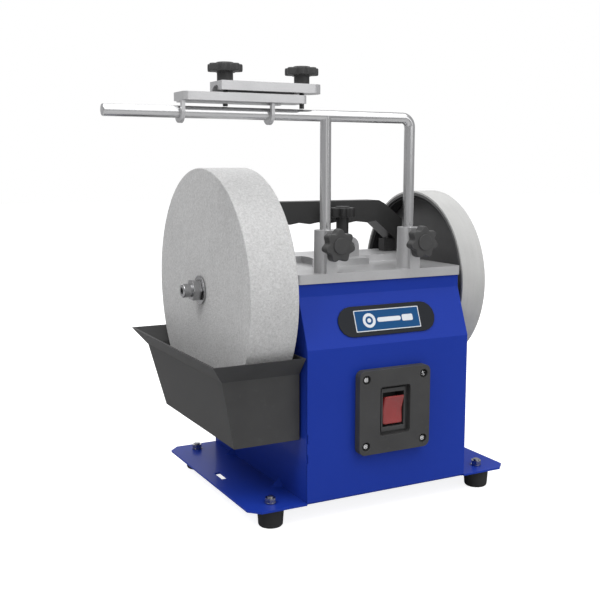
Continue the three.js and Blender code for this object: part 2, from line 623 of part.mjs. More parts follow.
// A J-shaped hook: down in front of the bar, round under it and a little way up behind it.
function jigHook(x) {
  const inner = BAR_RADIUS + RUNNING;
  const outer = inner + HOOK.wall;
  const to = x + HOOK.thickness;
  const under = rod("x", outer, x, to, [0, sleeveY, barZ], 32)
    .intersect(box([x, to], [sleeveY - outer, sleeveY + outer], [barZ - outer, barZ + HOOK.tip]));
  const stem = box([x, to], [sleeveY - outer, sleeveY - inner], [barZ, jigBaseZ() + BITE]);
  return unite(under, stem);
}

function jigHookSpace(x) {
  const inner = BAR_RADIUS + RUNNING;
  return rod("x", inner, x - 1, x + HOOK.thickness + 1, [0, sleeveY, barZ], 24);
}

function jigBase() {
  const low = jigBaseZ();
  const high = low + JIG_BASE.thickness;
  const halfWidth = JIG_BASE.width / 2;
  const halfRib = JIG_RIB.width / 2;
  const outline = roundedRectangle([jigX, jigX + JIG_BASE.length], [sleeveY - halfWidth, sleeveY + halfWidth],
    JIG_BASE.corner);
  const plate = slab(outline, "xy", low, high);
  const rib = box([jigX, jigX + JIG_RIB.length], [sleeveY - halfRib, sleeveY + halfRib],
    [low - JIG_RIB.height, low + BITE]);
  const hookXs = [jigX, jigX + HOOK.spacing];
  const holes = jigScrewXs().map((x) => rod("z", JIG_SCREW.radius + JIG_SCREW.clearance,
    low - JIG_RIB.height - 1, high + 1, [x, sleeveY, 0], 16));
  const solid = cutFrom(unite(plate, rib, hookXs.map(jigHook)), hookXs.map(jigHookSpace), holes);
  return meshOf("jig_base", solid, "castGrey");
}

function jigScrewXs() {
  return [jigX + JIG_SCREW.left, jigX + JIG_SCREW.left + JIG_SCREW.spacing];
}

function clampBarOutline() {
  const left = jigX + CLAMP_BAR.left;
  const right = left + CLAMP_BAR.length;
  const half = CLAMP_BAR.width / 2;
  const shape = new THREE.Shape();
  shape.moveTo(left, sleeveY - half);
  shape.lineTo(right - CLAMP_BAR.nose, sleeveY - half);
  shape.absellipse(right - CLAMP_BAR.nose, sleeveY, CLAMP_BAR.nose, half, -Math.PI / 2, Math.PI / 2);
  shape.lineTo(left, sleeveY + half);
  return shape;
}

function jigClampBar() {
  const low = jigBaseZ() + JIG_BASE.thickness + JAW_GAP;
  const high = low + CLAMP_BAR.height;
  const left = jigX + CLAMP_BAR.left;
  const body = slab(clampBarOutline(), "xy", low, high);
  const channel = rod("x", CLAMP_BAR.width / 2 - CLAMP_BAR.wall, left - 1,
    left + CLAMP_BAR.length - 2 * CLAMP_BAR.nose, [0, sleeveY, low - CHANNEL_DROP], 32);
  const bosses = jigScrewXs().map((x) => rod("z", JIG_SCREW.radius + JIG_BOSS_WALL, low + 1, high,
    [x, sleeveY, 0], 20));
  const holes = jigScrewXs().map((x) => rod("z", JIG_SCREW.radius + GAP, low - 1, high + 1,
    [x, sleeveY, 0], 16));
  return meshOf("jig_clamp_bar", cutFrom(unite(cutFrom(body, channel), bosses), holes), "castGrey");
}

function jigKnobs() {
  const seat = jigBaseZ() + JIG_BASE.thickness + JAW_GAP + CLAMP_BAR.height;
  const screwLength = seat + GAP - (barZ + BAR_RADIUS + JIG_SCREW.aboveBar);
  return jigScrewXs().map((x, i) => {
    const solid = starKnob(JIG_KNOB, JIG_SCREW.radius, screwLength);
    const mesh = meshOf(`jig_knob_${["left", "right"][i]}`, solid, "blackPlastic");
    mesh.position.set(x, sleeveY, seat + GAP);
    return mesh;
  });
}

// ---- trough -------------------------------------------------------------------------------------
function troughFloorZ() {
  return axisZ - stoneRadius - TROUGH_FLOOR_CLEARANCE - TROUGH_WALL;
}

function troughPinZ() {
  return troughFloorZ() + TROUGH_PIN.aboveFloor;
}

// Half of the stone's width at a height, seen along its axis.
function stoneHalfChord(z) {
  return Math.sqrt(Math.max(0, stoneRadius ** 2 - (axisZ - z) ** 2));
}

// One layer of the trough: the four corners at a height, `inset` inside the outer face.
function troughLayer(z, inset, flare, taper) {
  const right = -wallX - TROUGH_FROM_WALL - inset;
  const left = stoneOuter - TROUGH_SIDE_CLEARANCE - TROUGH_WALL - flare + taper * TROUGH_SIDE_TAPER + inset;
  const reach = stoneHalfChord(troughLipFoot()) + TROUGH_END_CLEARANCE + TROUGH_WALL + flare - inset;
  return [
    new THREE.Vector3(left, -reach, z), new THREE.Vector3(right, -reach, z),
    new THREE.Vector3(right, reach - taper * TROUGH_BACK_TAPER, z),
    new THREE.Vector3(left, reach - taper * TROUGH_BACK_TAPER, z),
  ];
}

function troughLipFoot() {
  return troughFloorZ() + TROUGH_HEIGHT - TROUGH_LIP_RISE;
}

function waterTrough() {
  const floor = troughFloorZ();
  const foot = troughLipFoot();
  const top = floor + TROUGH_HEIGHT;
  const tub = solidOf(new ConvexGeometry([...troughLayer(floor, 0, 0, 1), ...troughLayer(foot, 0, 0, 0)]));
  const lip = solidOf(new ConvexGeometry([...troughLayer(foot - 2, 0, 0, 0), ...troughLayer(foot, 0, 1, 0),
    ...troughLayer(top, 0, TROUGH_LIP_FLARE, 0)]));
  const hollowTub = solidOf(new ConvexGeometry([
    ...troughLayer(floor + TROUGH_WALL, TROUGH_WALL, 0, 1), ...troughLayer(foot + 0.01, TROUGH_WALL, 0, 0)]));
  const hollowLip = solidOf(new ConvexGeometry([
    ...troughLayer(foot, TROUGH_WALL, 0, 0), ...troughLayer(top + 1, TROUGH_WALL, TROUGH_LIP_FLARE + 1, 0)]));
  const pinZ = troughPinZ();
  const pinRoom = TROUGH_PIN.radius + GAP;
  const wallOuter = -wallX - TROUGH_FROM_WALL;
  const slots = [-1, 1].map((end) => box([wallOuter - TROUGH_WALL - 1, wallOuter + 1],
    [end * TROUGH_PIN.y - pinRoom, end * TROUGH_PIN.y + pinRoom],
    [pinZ - pinRoom, pinZ + pinRoom + TROUGH_DROP]));
  return meshOf("water_trough", cutFrom(unite(tub, lip), hollowTub, hollowLip, slots), "darkPlastic");
}

function troughPins() {
  const inside = -wallX + SHEET + 4;
  const headInner = -wallX - TROUGH_FROM_WALL - TROUGH_WALL - GAP;
  return [["front", -1], ["rear", 1]].map(([end, side]) => {
    const stem = rod("x", TROUGH_PIN.radius, headInner - BITE, inside, [0, 0, 0], 16);
    const head = rod("x", TROUGH_PIN.headRadius, headInner - TROUGH_PIN.head, headInner, [0, 0, 0], 20);
    const mesh = meshOf(`trough_pin_${end}`, unite(stem, head), "brightSteel");
    mesh.position.set(0, side * TROUGH_PIN.y, troughPinZ());
    return mesh;
  });
}

// ---- carrying handle ----------------------------------------------------------------------------
function handleHalf() {
  return wallX + HANDLE.outset;
}

function handleFootXs() {
  const middle = handleHalf() - HANDLE_FOOT.width / 2;
  return [-middle, middle];
}

function handleFootY() {
  return HANDLE.front + HANDLE_FOOT.front + HANDLE_FOOT.depth / 2;
}

// The grip's underside, with shallow finger waves, from left to right.
function gripUnderside(z, half) {
  const points = [];
  const steps = HANDLE.waves * 4;
  for (let i = 0; i <= steps; i += 1) {
    const along = i / steps;
    const wave = (HANDLE.wave * (1 - Math.cos(2 * Math.PI * HANDLE.waves * along))) / 2;
    points.push([along * 2 * half - half, z - wave]);
  }
  return points;
}

// The outline of one end, from the foot's inner corner round to the grip's top.
function handleEnd(seat, top) {
  const half = handleHalf();
  const shoulder = half - HANDLE_ARM.outer;
  const footTop = seat + HANDLE_FOOT.height;
  return {
    inner: [[half - HANDLE_ARM.foot, footTop], [half - HANDLE_FOOT.width, footTop],
      [half - HANDLE_FOOT.width, seat]],
    outer: [
      [half, seat], [half, top - HANDLE_ARM.drop], [shoulder + HANDLE.corner, top - HANDLE.corner],
      [shoulder - HANDLE.corner, top],
    ],
  };
}

function carryHandle() {
  const seat = plateTop + PLATFORM.height + GAP;
  const top = plateTop + HANDLE.top;
  const half = handleHalf();
  const end = handleEnd(seat, top);
  const mirrored = (points) => points.map(([x, z]) => [-x, z]).reverse();
  const outline = [
    ...mirrored(end.inner), ...gripUnderside(top - HANDLE.grip, half - HANDLE_ARM.inner), ...end.inner,
    ...end.outer, ...mirrored(end.outer),
  ];
  const body = slab(outline, "xz", HANDLE.front, HANDLE.front + HANDLE.depth);
  const footFront = HANDLE.front + HANDLE_FOOT.front;
  const besideFeet = [-1, 1].map((side) => {
    const across = span(side * (half - HANDLE_ARM.foot), side * (half - HANDLE_FOOT.width - 1));
    const up = [seat - 1, seat + HANDLE_FOOT.height];
    return [box(across, [HANDLE.front - 1, footFront], up),
      box(across, [footFront + HANDLE_FOOT.depth, HANDLE.front + HANDLE.depth + 1], up)];
  });
  const screwHoles = handleFootXs().map((x) => rod("z", HANDLE_SCREW_RADIUS + GAP, seat - 1,
    seat + HANDLE_SCREW_DEPTH + GAP, [x, handleFootY(), 0], 16));
  return meshOf("carry_handle", cutFrom(body, besideFeet, screwHoles), "blackPlastic");
}

function handleScrews() {
  return handleFootXs().map((x, i) => {
    const headTop = plateBottom - GAP;
    const stemTop = plateTop + PLATFORM.height + HANDLE_SCREW_DEPTH;
    const stem = rod("z", HANDLE_SCREW_RADIUS, headTop - 1, stemTop, [0, 0, 0], 16);
    const head = slab(hexagon(SMALL_HEX.across), "xy", headTop - SMALL_HEX.height, headTop);
    const mesh = meshOf(`handle_screw_${["left", "right"][i]}`, unite(stem, head), "brightSteel");
    mesh.position.set(x, handleFootY(), 0);
    return mesh;
  });
}

// ---- switch and badge ---------------------------------------------------------------------------
function switchCentreZ() {
  return flangeTop + SWITCH_PLATE.aboveFlange;
}

function switchPlate() {
  const z = switchCentreZ();
  const seat = -HOUSING_FRONT - GAP;
  const face = seat - SWITCH_PLATE.thickness;
  const x = SWITCH_PLATE.x;
  const rectangle = ({ width, height, corner }) =>
    roundedRectangle([x - width / 2, x + width / 2], [z - height / 2, z + height / 2], corner);
  const plate = slab(rectangle(SWITCH_PLATE), "xz", face, seat);
  const recess = slab(rectangle(SWITCH_RECESS), "xz", face - 1, face + SWITCH_RECESS.depth);
  const window = box([x - SWITCH_BODY.width / 2 - GAP, x + SWITCH_BODY.width / 2 + GAP], [face, seat + 1],
    [z - SWITCH_BODY.height / 2 - GAP, z + SWITCH_BODY.height / 2 + GAP]);
  const seats = switchScrewPlaces().map(([sx, sz]) => rod("y", SWITCH_SCREW.bore, face - 1,
    face + SWITCH_SCREW.sink + SWITCH_SCREW.height, [sx, 0, sz], 16));
  return meshOf("switch_plate", cutFrom(plate, recess, window, seats), "darkPlastic");
}

function switchScrewPlaces() {
  const reach = SWITCH_SCREW.spacing / 2;
  const z = switchCentreZ();
  return [[-reach, z + reach], [reach, z + reach], [-reach, z - reach], [reach, z - reach]]
    .map(([x, height]) => [SWITCH_PLATE.x + x, height]);
}

function switchScrews() {
  const names = ["top_left", "top_right", "bottom_left", "bottom_right"];
  const face = -HOUSING_FRONT - GAP - SWITCH_PLATE.thickness;
  return switchScrewPlaces().map(([x, z], i) => {
    const from = face + SWITCH_SCREW.sink;
    const to = from + SWITCH_SCREW.height - GAP;
    const head = rod("y", SWITCH_SCREW.radius - 1, from, to, [0, 0, 0], 16, SWITCH_SCREW.radius);
    const slot = box([-0.5, 0.5], [from - 1, from + 0.8], [-SWITCH_SCREW.radius, SWITCH_SCREW.radius]);
    const crossSlot = box([-SWITCH_SCREW.radius, SWITCH_SCREW.radius], [from - 1, from + 0.8], [-0.5, 0.5]);
    const inner = box([-2.2, 2.2], [from - 1, from + 2], [-2.2, 2.2]);
    const cross = unite(slot, crossSlot).intersect(inner);
    const mesh = meshOf(`switch_screw_${names[i]}`, cutFrom(head, cross), "brightSteel");
    mesh.position.set(x, 0, z);
    return mesh;
  });
}

function rockerPivot() {
  return { y: -HOUSING_FRONT - 2, z: switchCentreZ() };
}

function switchBody() {
  const z = switchCentreZ();
  const x = SWITCH_PLATE.x;
  const front = -HOUSING_FRONT - GAP - SWITCH_PLATE.thickness + SWITCH_RECESS.depth - 2;
  const back = -HOUSING_FRONT + SWITCH_BODY.depth;
  const shell = box([x - SWITCH_BODY.width / 2, x + SWITCH_BODY.width / 2], [front, back],
    [z - SWITCH_BODY.height / 2, z + SWITCH_BODY.height / 2]);
  const room = box([x - ROCKER.width / 2 - ROCKER.window, x + ROCKER.width / 2 + ROCKER.window],
    [front - 1, rockerPivot().y + ROCKER.depth],
    [z - ROCKER.height / 2 - 2.2, z + ROCKER.height / 2 + 2.2]);
  return meshOf("switch_body", cutFrom(shell, room), "blackPlastic");
}

function switchRocker() {
  const half = ROCKER.height / 2;
  const front = -ROCKER.depth / 2;
  const back = ROCKER.depth / 2;
  const shape = shapeOf([
    [front + ROCKER.crown - 3, -half], [front + ROCKER.crown, 0], [front + ROCKER.crown - 3, half],
    [back - 4, half - 3], [back, 0], [back - 4, -half + 3],
  ].reverse());
  const solid = slab(shape, "yz", -ROCKER.width / 2, ROCKER.width / 2);
  const mesh = meshOf("switch_rocker", solid, "redPlastic");
  mesh.rotation.x = THREE.MathUtils.degToRad(ROCKER.tilt);
  mesh.position.set(SWITCH_PLATE.x, rockerPivot().y, rockerPivot().z);
  return mesh;
}

function badge() {
  const half = BADGE.height / 2;
  const reach = BADGE.width / 2 - half;
  const shape = new THREE.Shape();
  shape.moveTo(-reach, -half);
  shape.lineTo(reach, -half);
  shape.absarc(reach, 0, half, -Math.PI / 2, Math.PI / 2);
  shape.lineTo(-reach, half);
  shape.absarc(-reach, 0, half, Math.PI / 2, Math.PI * 1.5);
  const mesh = meshOf("badge", slab(shape, "xz", -BADGE.thickness, 0), "badge");
  mesh.rotation.x = -slantAngle;
  const along = BADGE.along;
  mesh.position.set(0, -HOUSING_FRONT + along * Math.sin(slantAngle) - GAP * Math.cos(slantAngle),
    firstBend + along * Math.cos(slantAngle) + GAP * Math.sin(slantAngle));
  return mesh;
}

// ---- grindstone and spindle ---------------------------------------------------------------------
function grindstone() {
  const r = stoneRadius;
  const bore = SHAFT_RADIUS + GAP;
  const profile = [
    [bore, stoneOuter], [r - 1, stoneOuter], [r, stoneOuter + 1], [r, stoneInner - 1], [r - 1, stoneInner],
    [bore, stoneInner],
  ];
  return meshOf("grindstone", turned(profile, "x", 60, [0, 0, axisZ]), "stone");
}

function ring(name, inner, outer, from, to, finish, segments = 24) {
  const profile = [[inner, from], [outer, from], [outer, to], [inner, to]];
  return meshOf(name, turned(profile, "x", segments, [0, 0, axisZ]), finish);
}

function stoneFasteners() {
  const washerFace = stoneOuter - GAP;
  const washerOuter = washerFace - STONE_WASHER.thickness;
  const bore = SHAFT_RADIUS + GAP;
  const outerWasher = ring("stone_washer_outer", bore, STONE_WASHER.radius, washerOuter, washerFace,
    "brightSteel");
  const innerFace = stoneInner + GAP;
  const innerWasher = ring("stone_washer_inner", bore, STONE_WASHER.innerRadius, innerFace,
    innerFace + STONE_WASHER.innerThickness, "brightSteel");
  return [outerWasher, innerWasher, stoneNut(washerOuter - GAP)];
}

function spindleLeft() {
  return stoneOuter - 2 * GAP - STONE_WASHER.thickness - STONE_NUT.hex;
}

function stoneNut(seat) {
  const hexEnd = seat - STONE_NUT.hex;
  const tip = hexEnd - STONE_NUT.collar;
  const hex = slab(hexagon(STONE_NUT.across), "yz", hexEnd, seat).translate([0, 0, axisZ]);
  const collarProfile = [[0, tip], [STONE_NUT.collarRadius - 1, tip], [STONE_NUT.collarRadius, tip + 1],
    [STONE_NUT.collarRadius, hexEnd + BITE], [0, hexEnd + BITE]];
  const collar = turned(collarProfile, "x", 28, [0, 0, axisZ]);
  const socket = rod("x", STONE_NUT.socketRadius, tip - 1, hexEnd, [0, 0, axisZ], 20);
  const thread = rod("x", SHAFT_RADIUS + GAP, hexEnd + 1, seat + 1, [0, 0, axisZ], 24);
  return meshOf("stone_nut", cutFrom(unite(hex, collar), socket, thread), "brightSteel");
}

function honingNutSeat() {
  return honingOuter - 1;
}

function spindle() {
  const left = spindleLeft() + 1 + GAP;
  const right = honingNutSeat() + HONING_NUT.shaftPast;
  const profile = [[0, left], [SHAFT_RADIUS - 1, left], [SHAFT_RADIUS, left + 1], [SHAFT_RADIUS, right - 1],
    [SHAFT_RADIUS - 1, right], [0, right]];
  return meshOf("spindle", turned(profile, "x", SHAFT_FACETS, [0, 0, axisZ]), "brightSteel");
}

function bushes() {
  return [["left", -1], ["right", 1]].map(([hand, side]) => {
    const inner = SHAFT_RADIUS + RUNNING;
    const outer = SHAFT_RADIUS + BUSH.wall;
    const face = side * (wallX - SHEET - GAP);
    const flangeEnd = face - side * BUSH.flange;
    const end = flangeEnd - side * (BUSH.length - BUSH.flange - SHEET);
    const outside = side * (wallX + 1);
    const profile = [[inner, outside], [outer, outside], [outer, face], [BUSH.flangeRadius, face],
      [BUSH.flangeRadius, flangeEnd], [outer, flangeEnd], [outer, end], [inner, end]];
    return meshOf(`spindle_bush_${hand}`, turned(profile, "x", SHAFT_FACETS, [0, 0, axisZ]), "bronze");
  });
}

// ---- honing wheel -------------------------------------------------------------------------------
// A cup that opens towards the housing: the motor's roller runs on the lining inside its rim.
function honingHub() {
  const rimOuter = rimInner + HONING_RIM;
  const webOuter = honingOuter - HONING_WEB_SET_IN;
  const webInner = webOuter - HONING_WEB;
  const bore = SHAFT_RADIUS + GAP;
  const profile = [
    [bore, honingInner], [HONING_HUB_RADIUS, honingInner],
    [HONING_HUB_RADIUS, webInner], [rimInner, webInner],
    [rimInner, honingInner], [rimOuter, honingInner], [rimOuter, honingOuter], [rimInner, honingOuter],
    [rimInner, webOuter], [HONING_HUB_RADIUS, webOuter], [HONING_HUB_RADIUS, honingNutSeat() - GAP],
    [bore, honingNutSeat() - GAP],
  ];
  const body = turned(profile, "x", 48, [0, 0, axisZ]);
  const ribs = [];
  for (let i = 0; i < HONING_RIBS.count; i += 1) {
    const geometry = new THREE.BoxGeometry(HONING_RIBS.height + BITE, HONING_RIBS.thickness,
      rimInner - HONING_HUB_RADIUS + 2 * BITE);
    geometry.translate(webOuter + (HONING_RIBS.height - BITE) / 2, 0, (rimInner + HONING_HUB_RADIUS) / 2);
    geometry.rotateX((2 * Math.PI * i) / HONING_RIBS.count);
    geometry.translate(0, 0, axisZ);
    ribs.push(solidOf(geometry));
  }
  return meshOf("honing_hub", unite(body, ribs), "darkPlastic");
}

function honingRings() {
  const liningFrom = honingInner + LINING_SET_IN;
  return [
    ring("leather_band", honingRadius - LEATHER_THICKNESS, honingRadius, honingInner + GAP, honingOuter - GAP,
      "leather", 48),
    ring("drive_lining", liningRadius, liningRadius + LINING_THICKNESS, liningFrom, liningFrom + LINING_WIDTH,
      "rubber", LINING_FACETS),
  ];
}

function honingNut() {
  const seat = honingNutSeat();
  const hex = slab(hexagon(HONING_NUT.across), "yz", seat, seat + HONING_NUT.height).translate([0, 0, axisZ]);
  const washer = rod("x", HONING_NUT.washerRadius, seat, seat + HONING_NUT.washer, [0, 0, axisZ], 28);
  const thread = rod("x", SHAFT_RADIUS + GAP, seat - 1, seat + HONING_NUT.shaftPast, [0, 0, axisZ], 24);
  return meshOf("honing_nut", cutFrom(unite(hex, washer), thread), "brightSteel");
}

// ---- motor --------------------------------------------------------------------------------------
function motorStator() {
  const right = MOTOR.left + MOTOR.length;
  const inner = MOTOR.bore;
  const profile = [[inner, MOTOR.left], [MOTOR.radius, MOTOR.left], [MOTOR.radius, right], [inner, right]];
  return meshOf("motor_stator", turned(profile, "x", 28, [0, 0, motorZ]), "motorSteel");
}

function motorBells() {
  const right = MOTOR.left + MOTOR.length;
  return [["left", MOTOR.left - GAP, -1], ["right", right + GAP, 1]].map(([hand, seat, side]) => {
    const end = seat + side * BELL.length;
    const bore = SHAFT_RADIUS + RUNNING;
    const inside = end - side * BELL.wall;
    const profile = [[bore, end], [BELL.radius - BELL.shoulder, end], [BELL.radius, end - side * BELL.edge],
      [BELL.radius, seat], [BELL.radius - BELL.edge, seat], [BELL.radius - BELL.inner, inside],
      [bore, inside]];
    return meshOf(`motor_bell_${hand}`, turned(profile, "x", SHAFT_FACETS, [0, 0, motorZ]), "castAlloy");
  });
}

function motorRotor() {
  const right = MOTOR.left + MOTOR.length;
  const core = MOTOR.bore - MOTOR.airGap;
  const shaftLeft = MOTOR.left - BELL.length - 3;
  const rollerEnd = honingInner + LINING_SET_IN + LINING_WIDTH;
  const coreLeft = MOTOR.left + CORE_INSET;
  const coreRight = right - CORE_INSET;
  const profile = [
    [0, shaftLeft], [SHAFT_RADIUS, shaftLeft], [SHAFT_RADIUS, coreLeft], [core, coreLeft], [core, coreRight],
    [SHAFT_RADIUS, coreRight], [SHAFT_RADIUS, rollerEnd - 1], [SHAFT_RADIUS - 1, rollerEnd], [0, rollerEnd],
  ];
  return meshOf("motor_rotor", turned(profile, "x", SHAFT_FACETS, [0, 0, motorZ]), "brightSteel");
}

function cradlePivotZ() {
  return motorZ - CRADLE.pivotZDrop;
}

function motorCradle() {
  const z = cradlePivotZ();
  const left = MOTOR.left + (MOTOR.length - CRADLE.width) / 2;
  const saddleOuter = MOTOR.radius + GAP + CRADLE.thickness + 2;
  const saddle = rod("x", saddleOuter, left, left + CRADLE.width, [0, 0, motorZ], 36);
  const lowerHalf = box([left - 1, left + CRADLE.width + 1], [-saddleOuter - 1, saddleOuter + 1],
    [motorZ - saddleOuter - 1, motorZ - 4]);
  const motorRoom = rod("x", MOTOR.radius + GAP, left - 1, left + CRADLE.width + 1, [0, 0, motorZ], 36);
  const arm = box([left, left + CRADLE.width], [MOTOR.radius * 0.8, CRADLE.pivotY],
    [z - CRADLE.thickness / 2, z + CRADLE.thickness / 2]);
  const barrel = rod("x", CRADLE.barrel, left, left + CRADLE.width, [0, CRADLE.pivotY, z], 24);
  const rodRoom = rod("x", CRADLE_ROD.radius + RUNNING, left - 1, left + CRADLE.width + 1,
    [0, CRADLE.pivotY, z], 20);
  const solid = cutFrom(unite(saddle.intersect(lowerHalf), arm, barrel), motorRoom, rodRoom);
  return meshOf("motor_cradle", solid, "motorSteel");
}

function cradleBracket() {
  const z = cradlePivotZ();
  const left = MOTOR.left + (MOTOR.length - CRADLE.width) / 2;
  const right = left + CRADLE.width;
  const seat = flangeTop + GAP;
  const ear = (from, to) => box([from, to], [CRADLE.pivotY - CRADLE.ear, CRADLE.pivotY + CRADLE.ear],
    [seat, z + CRADLE.ear]);
  const base = box([left - 1 - CRADLE.thickness, right + 1 + CRADLE.thickness],
    [CRADLE.pivotY - CRADLE.ear, CRADLE.pivotY + CRADLE.ear], [seat, seat + CRADLE.thickness]);
  const rodRoom = rod("x", CRADLE_ROD.radius + GAP, left - 20, right + 20, [0, CRADLE.pivotY, z], 20);
  const ears = [ear(left - 1 - CRADLE.thickness, left - 1), ear(right + 1, right + 1 + CRADLE.thickness)];
  return meshOf("cradle_bracket", cutFrom(unite(base, ears), rodRoom), "motorSteel");
}

function cradleRod() {
  const left = MOTOR.left + (MOTOR.length - CRADLE.width) / 2;
  const solid = rod("x", CRADLE_ROD.radius, left - CRADLE_ROD.end, left + CRADLE.width + CRADLE_ROD.end,
    [0, CRADLE.pivotY, cradlePivotZ()], 20);
  return meshOf("cradle_rod", solid, "brightSteel");
}

function capacitor() {
  const y = -HOUSING_FRONT + CAPACITOR.fromFront;
  const x = -wallX + CAPACITOR.fromWall;
  const z = flangeTop + GAP;
  const profile = [[0, z], [CAPACITOR.radius, z], [CAPACITOR.radius, z + CAPACITOR.length - 3],
    [CAPACITOR.radius - 3, z + CAPACITOR.length], [0, z + CAPACITOR.length]];
  return meshOf("capacitor", turned(profile, "z", 28, [x, y, 0]), "castAlloy");
}

function cableGland() {
  const outside = HOUSING_BACK + GAP;
  const z = flangeTop + GLAND.aboveFlange;
  const profile = [
    [GLAND.cableRadius, HOUSING_BACK - SHEET - 6], [GLAND.radius - 2, HOUSING_BACK - SHEET - 6],
    [GLAND.radius - 2, outside], [GLAND.radius + 2, outside], [GLAND.radius + 2, outside + 4],
    [GLAND.radius, outside + 5], [GLAND.radius - 3, outside + GLAND.length],
    [GLAND.cableRadius, outside + GLAND.length],
  ];
  return meshOf("cable_gland", turned(profile, "y", 24, [GLAND.x, 0, z]), "blackPlastic");
}

// ---- whole machine ------------------------------------------------------------------------------
const grinder = new THREE.Group();
grinder.name = "wet_stone_grinder";
grinder.add(
  leftSidePanel(), rightSidePanel(), frontPanel(), backPanel(), bottomPlate(), ...feet(),
  topPlate(), ...sleeveKnobs(), levelSleeveKnob(), universalSupport(),
  jigBase(), jigClampBar(), ...jigKnobs(),
  waterTrough(), ...troughPins(), carryHandle(), ...handleScrews(),
  switchPlate(), ...switchScrews(), switchBody(), switchRocker(), badge(),
  grindstone(), ...stoneFasteners(), spindle(), ...bushes(),
  honingHub(), ...honingRings(), honingNut(),
  motorStator(), ...motorBells(), motorRotor(), motorCradle(), cradleBracket(), cradleRod(),
  capacitor(), cableGland(),
);

// The finished group stands on its feet with its box centred on the origin.
grinder.updateMatrixWorld(true);
const extent = new THREE.Box3().setFromObject(grinder, true);
const middle = extent.getCenter(new THREE.Vector3());
grinder.position.set(-middle.x, -middle.y, -extent.min.z);
grinder.updateMatrixWorld(true);

export default grinder;
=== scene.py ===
import math

import bpy
from mathutils import Matrix, Vector


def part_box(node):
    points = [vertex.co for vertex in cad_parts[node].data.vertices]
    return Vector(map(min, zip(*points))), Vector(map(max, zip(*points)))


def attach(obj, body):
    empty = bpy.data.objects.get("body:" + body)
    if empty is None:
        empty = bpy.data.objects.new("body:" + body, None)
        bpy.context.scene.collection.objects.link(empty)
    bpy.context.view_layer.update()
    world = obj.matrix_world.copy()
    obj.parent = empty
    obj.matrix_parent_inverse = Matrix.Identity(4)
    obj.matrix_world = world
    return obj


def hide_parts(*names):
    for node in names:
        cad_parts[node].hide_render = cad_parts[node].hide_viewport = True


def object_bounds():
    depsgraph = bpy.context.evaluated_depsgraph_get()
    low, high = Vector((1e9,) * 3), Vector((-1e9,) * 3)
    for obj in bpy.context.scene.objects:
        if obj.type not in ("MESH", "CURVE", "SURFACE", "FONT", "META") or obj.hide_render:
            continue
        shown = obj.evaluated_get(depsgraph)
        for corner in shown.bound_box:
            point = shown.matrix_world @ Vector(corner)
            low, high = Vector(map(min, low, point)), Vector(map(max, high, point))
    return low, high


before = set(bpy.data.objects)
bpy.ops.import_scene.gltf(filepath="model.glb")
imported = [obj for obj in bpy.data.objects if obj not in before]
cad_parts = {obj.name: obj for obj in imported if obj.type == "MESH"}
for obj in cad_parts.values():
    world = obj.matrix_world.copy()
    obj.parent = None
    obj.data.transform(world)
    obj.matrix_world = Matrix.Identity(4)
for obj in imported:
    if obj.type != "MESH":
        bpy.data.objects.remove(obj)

cad_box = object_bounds()
MM = 0.001


# ---- Housing ------------------------------------------------------------------------------------
# Bent and welded sheet steel, 2 mm thick, sprayed in glossy blue enamel. The front is one sheet with
# two shallow bends, the side walls turn out at the foot into flanges with pressed stiffening darts.
class Value:
    """A shader value that takes part in sums like a number."""

    def __init__(self, finish, socket):
        self.finish = finish
        self.socket = socket

    def math(self, operation, first, second):
        return self.finish.node("ShaderNodeMath", {"operation": operation}, {0: first, 1: second})

    def __add__(self, other):
        return self.math("ADD", self, other)

    def __radd__(self, other):
        return self.math("ADD", other, self)

    def __sub__(self, other):
        return self.math("SUBTRACT", self, other)

    def __rsub__(self, other):
        return self.math("SUBTRACT", other, self)

    def __mul__(self, other):
        return self.math("MULTIPLY", self, other)

    def __rmul__(self, other):
        return self.math("MULTIPLY", other, self)

    def __gt__(self, other):
        return self.math("GREATER_THAN", self, other)

    def __lt__(self, other):
        return self.math("LESS_THAN", self, other)


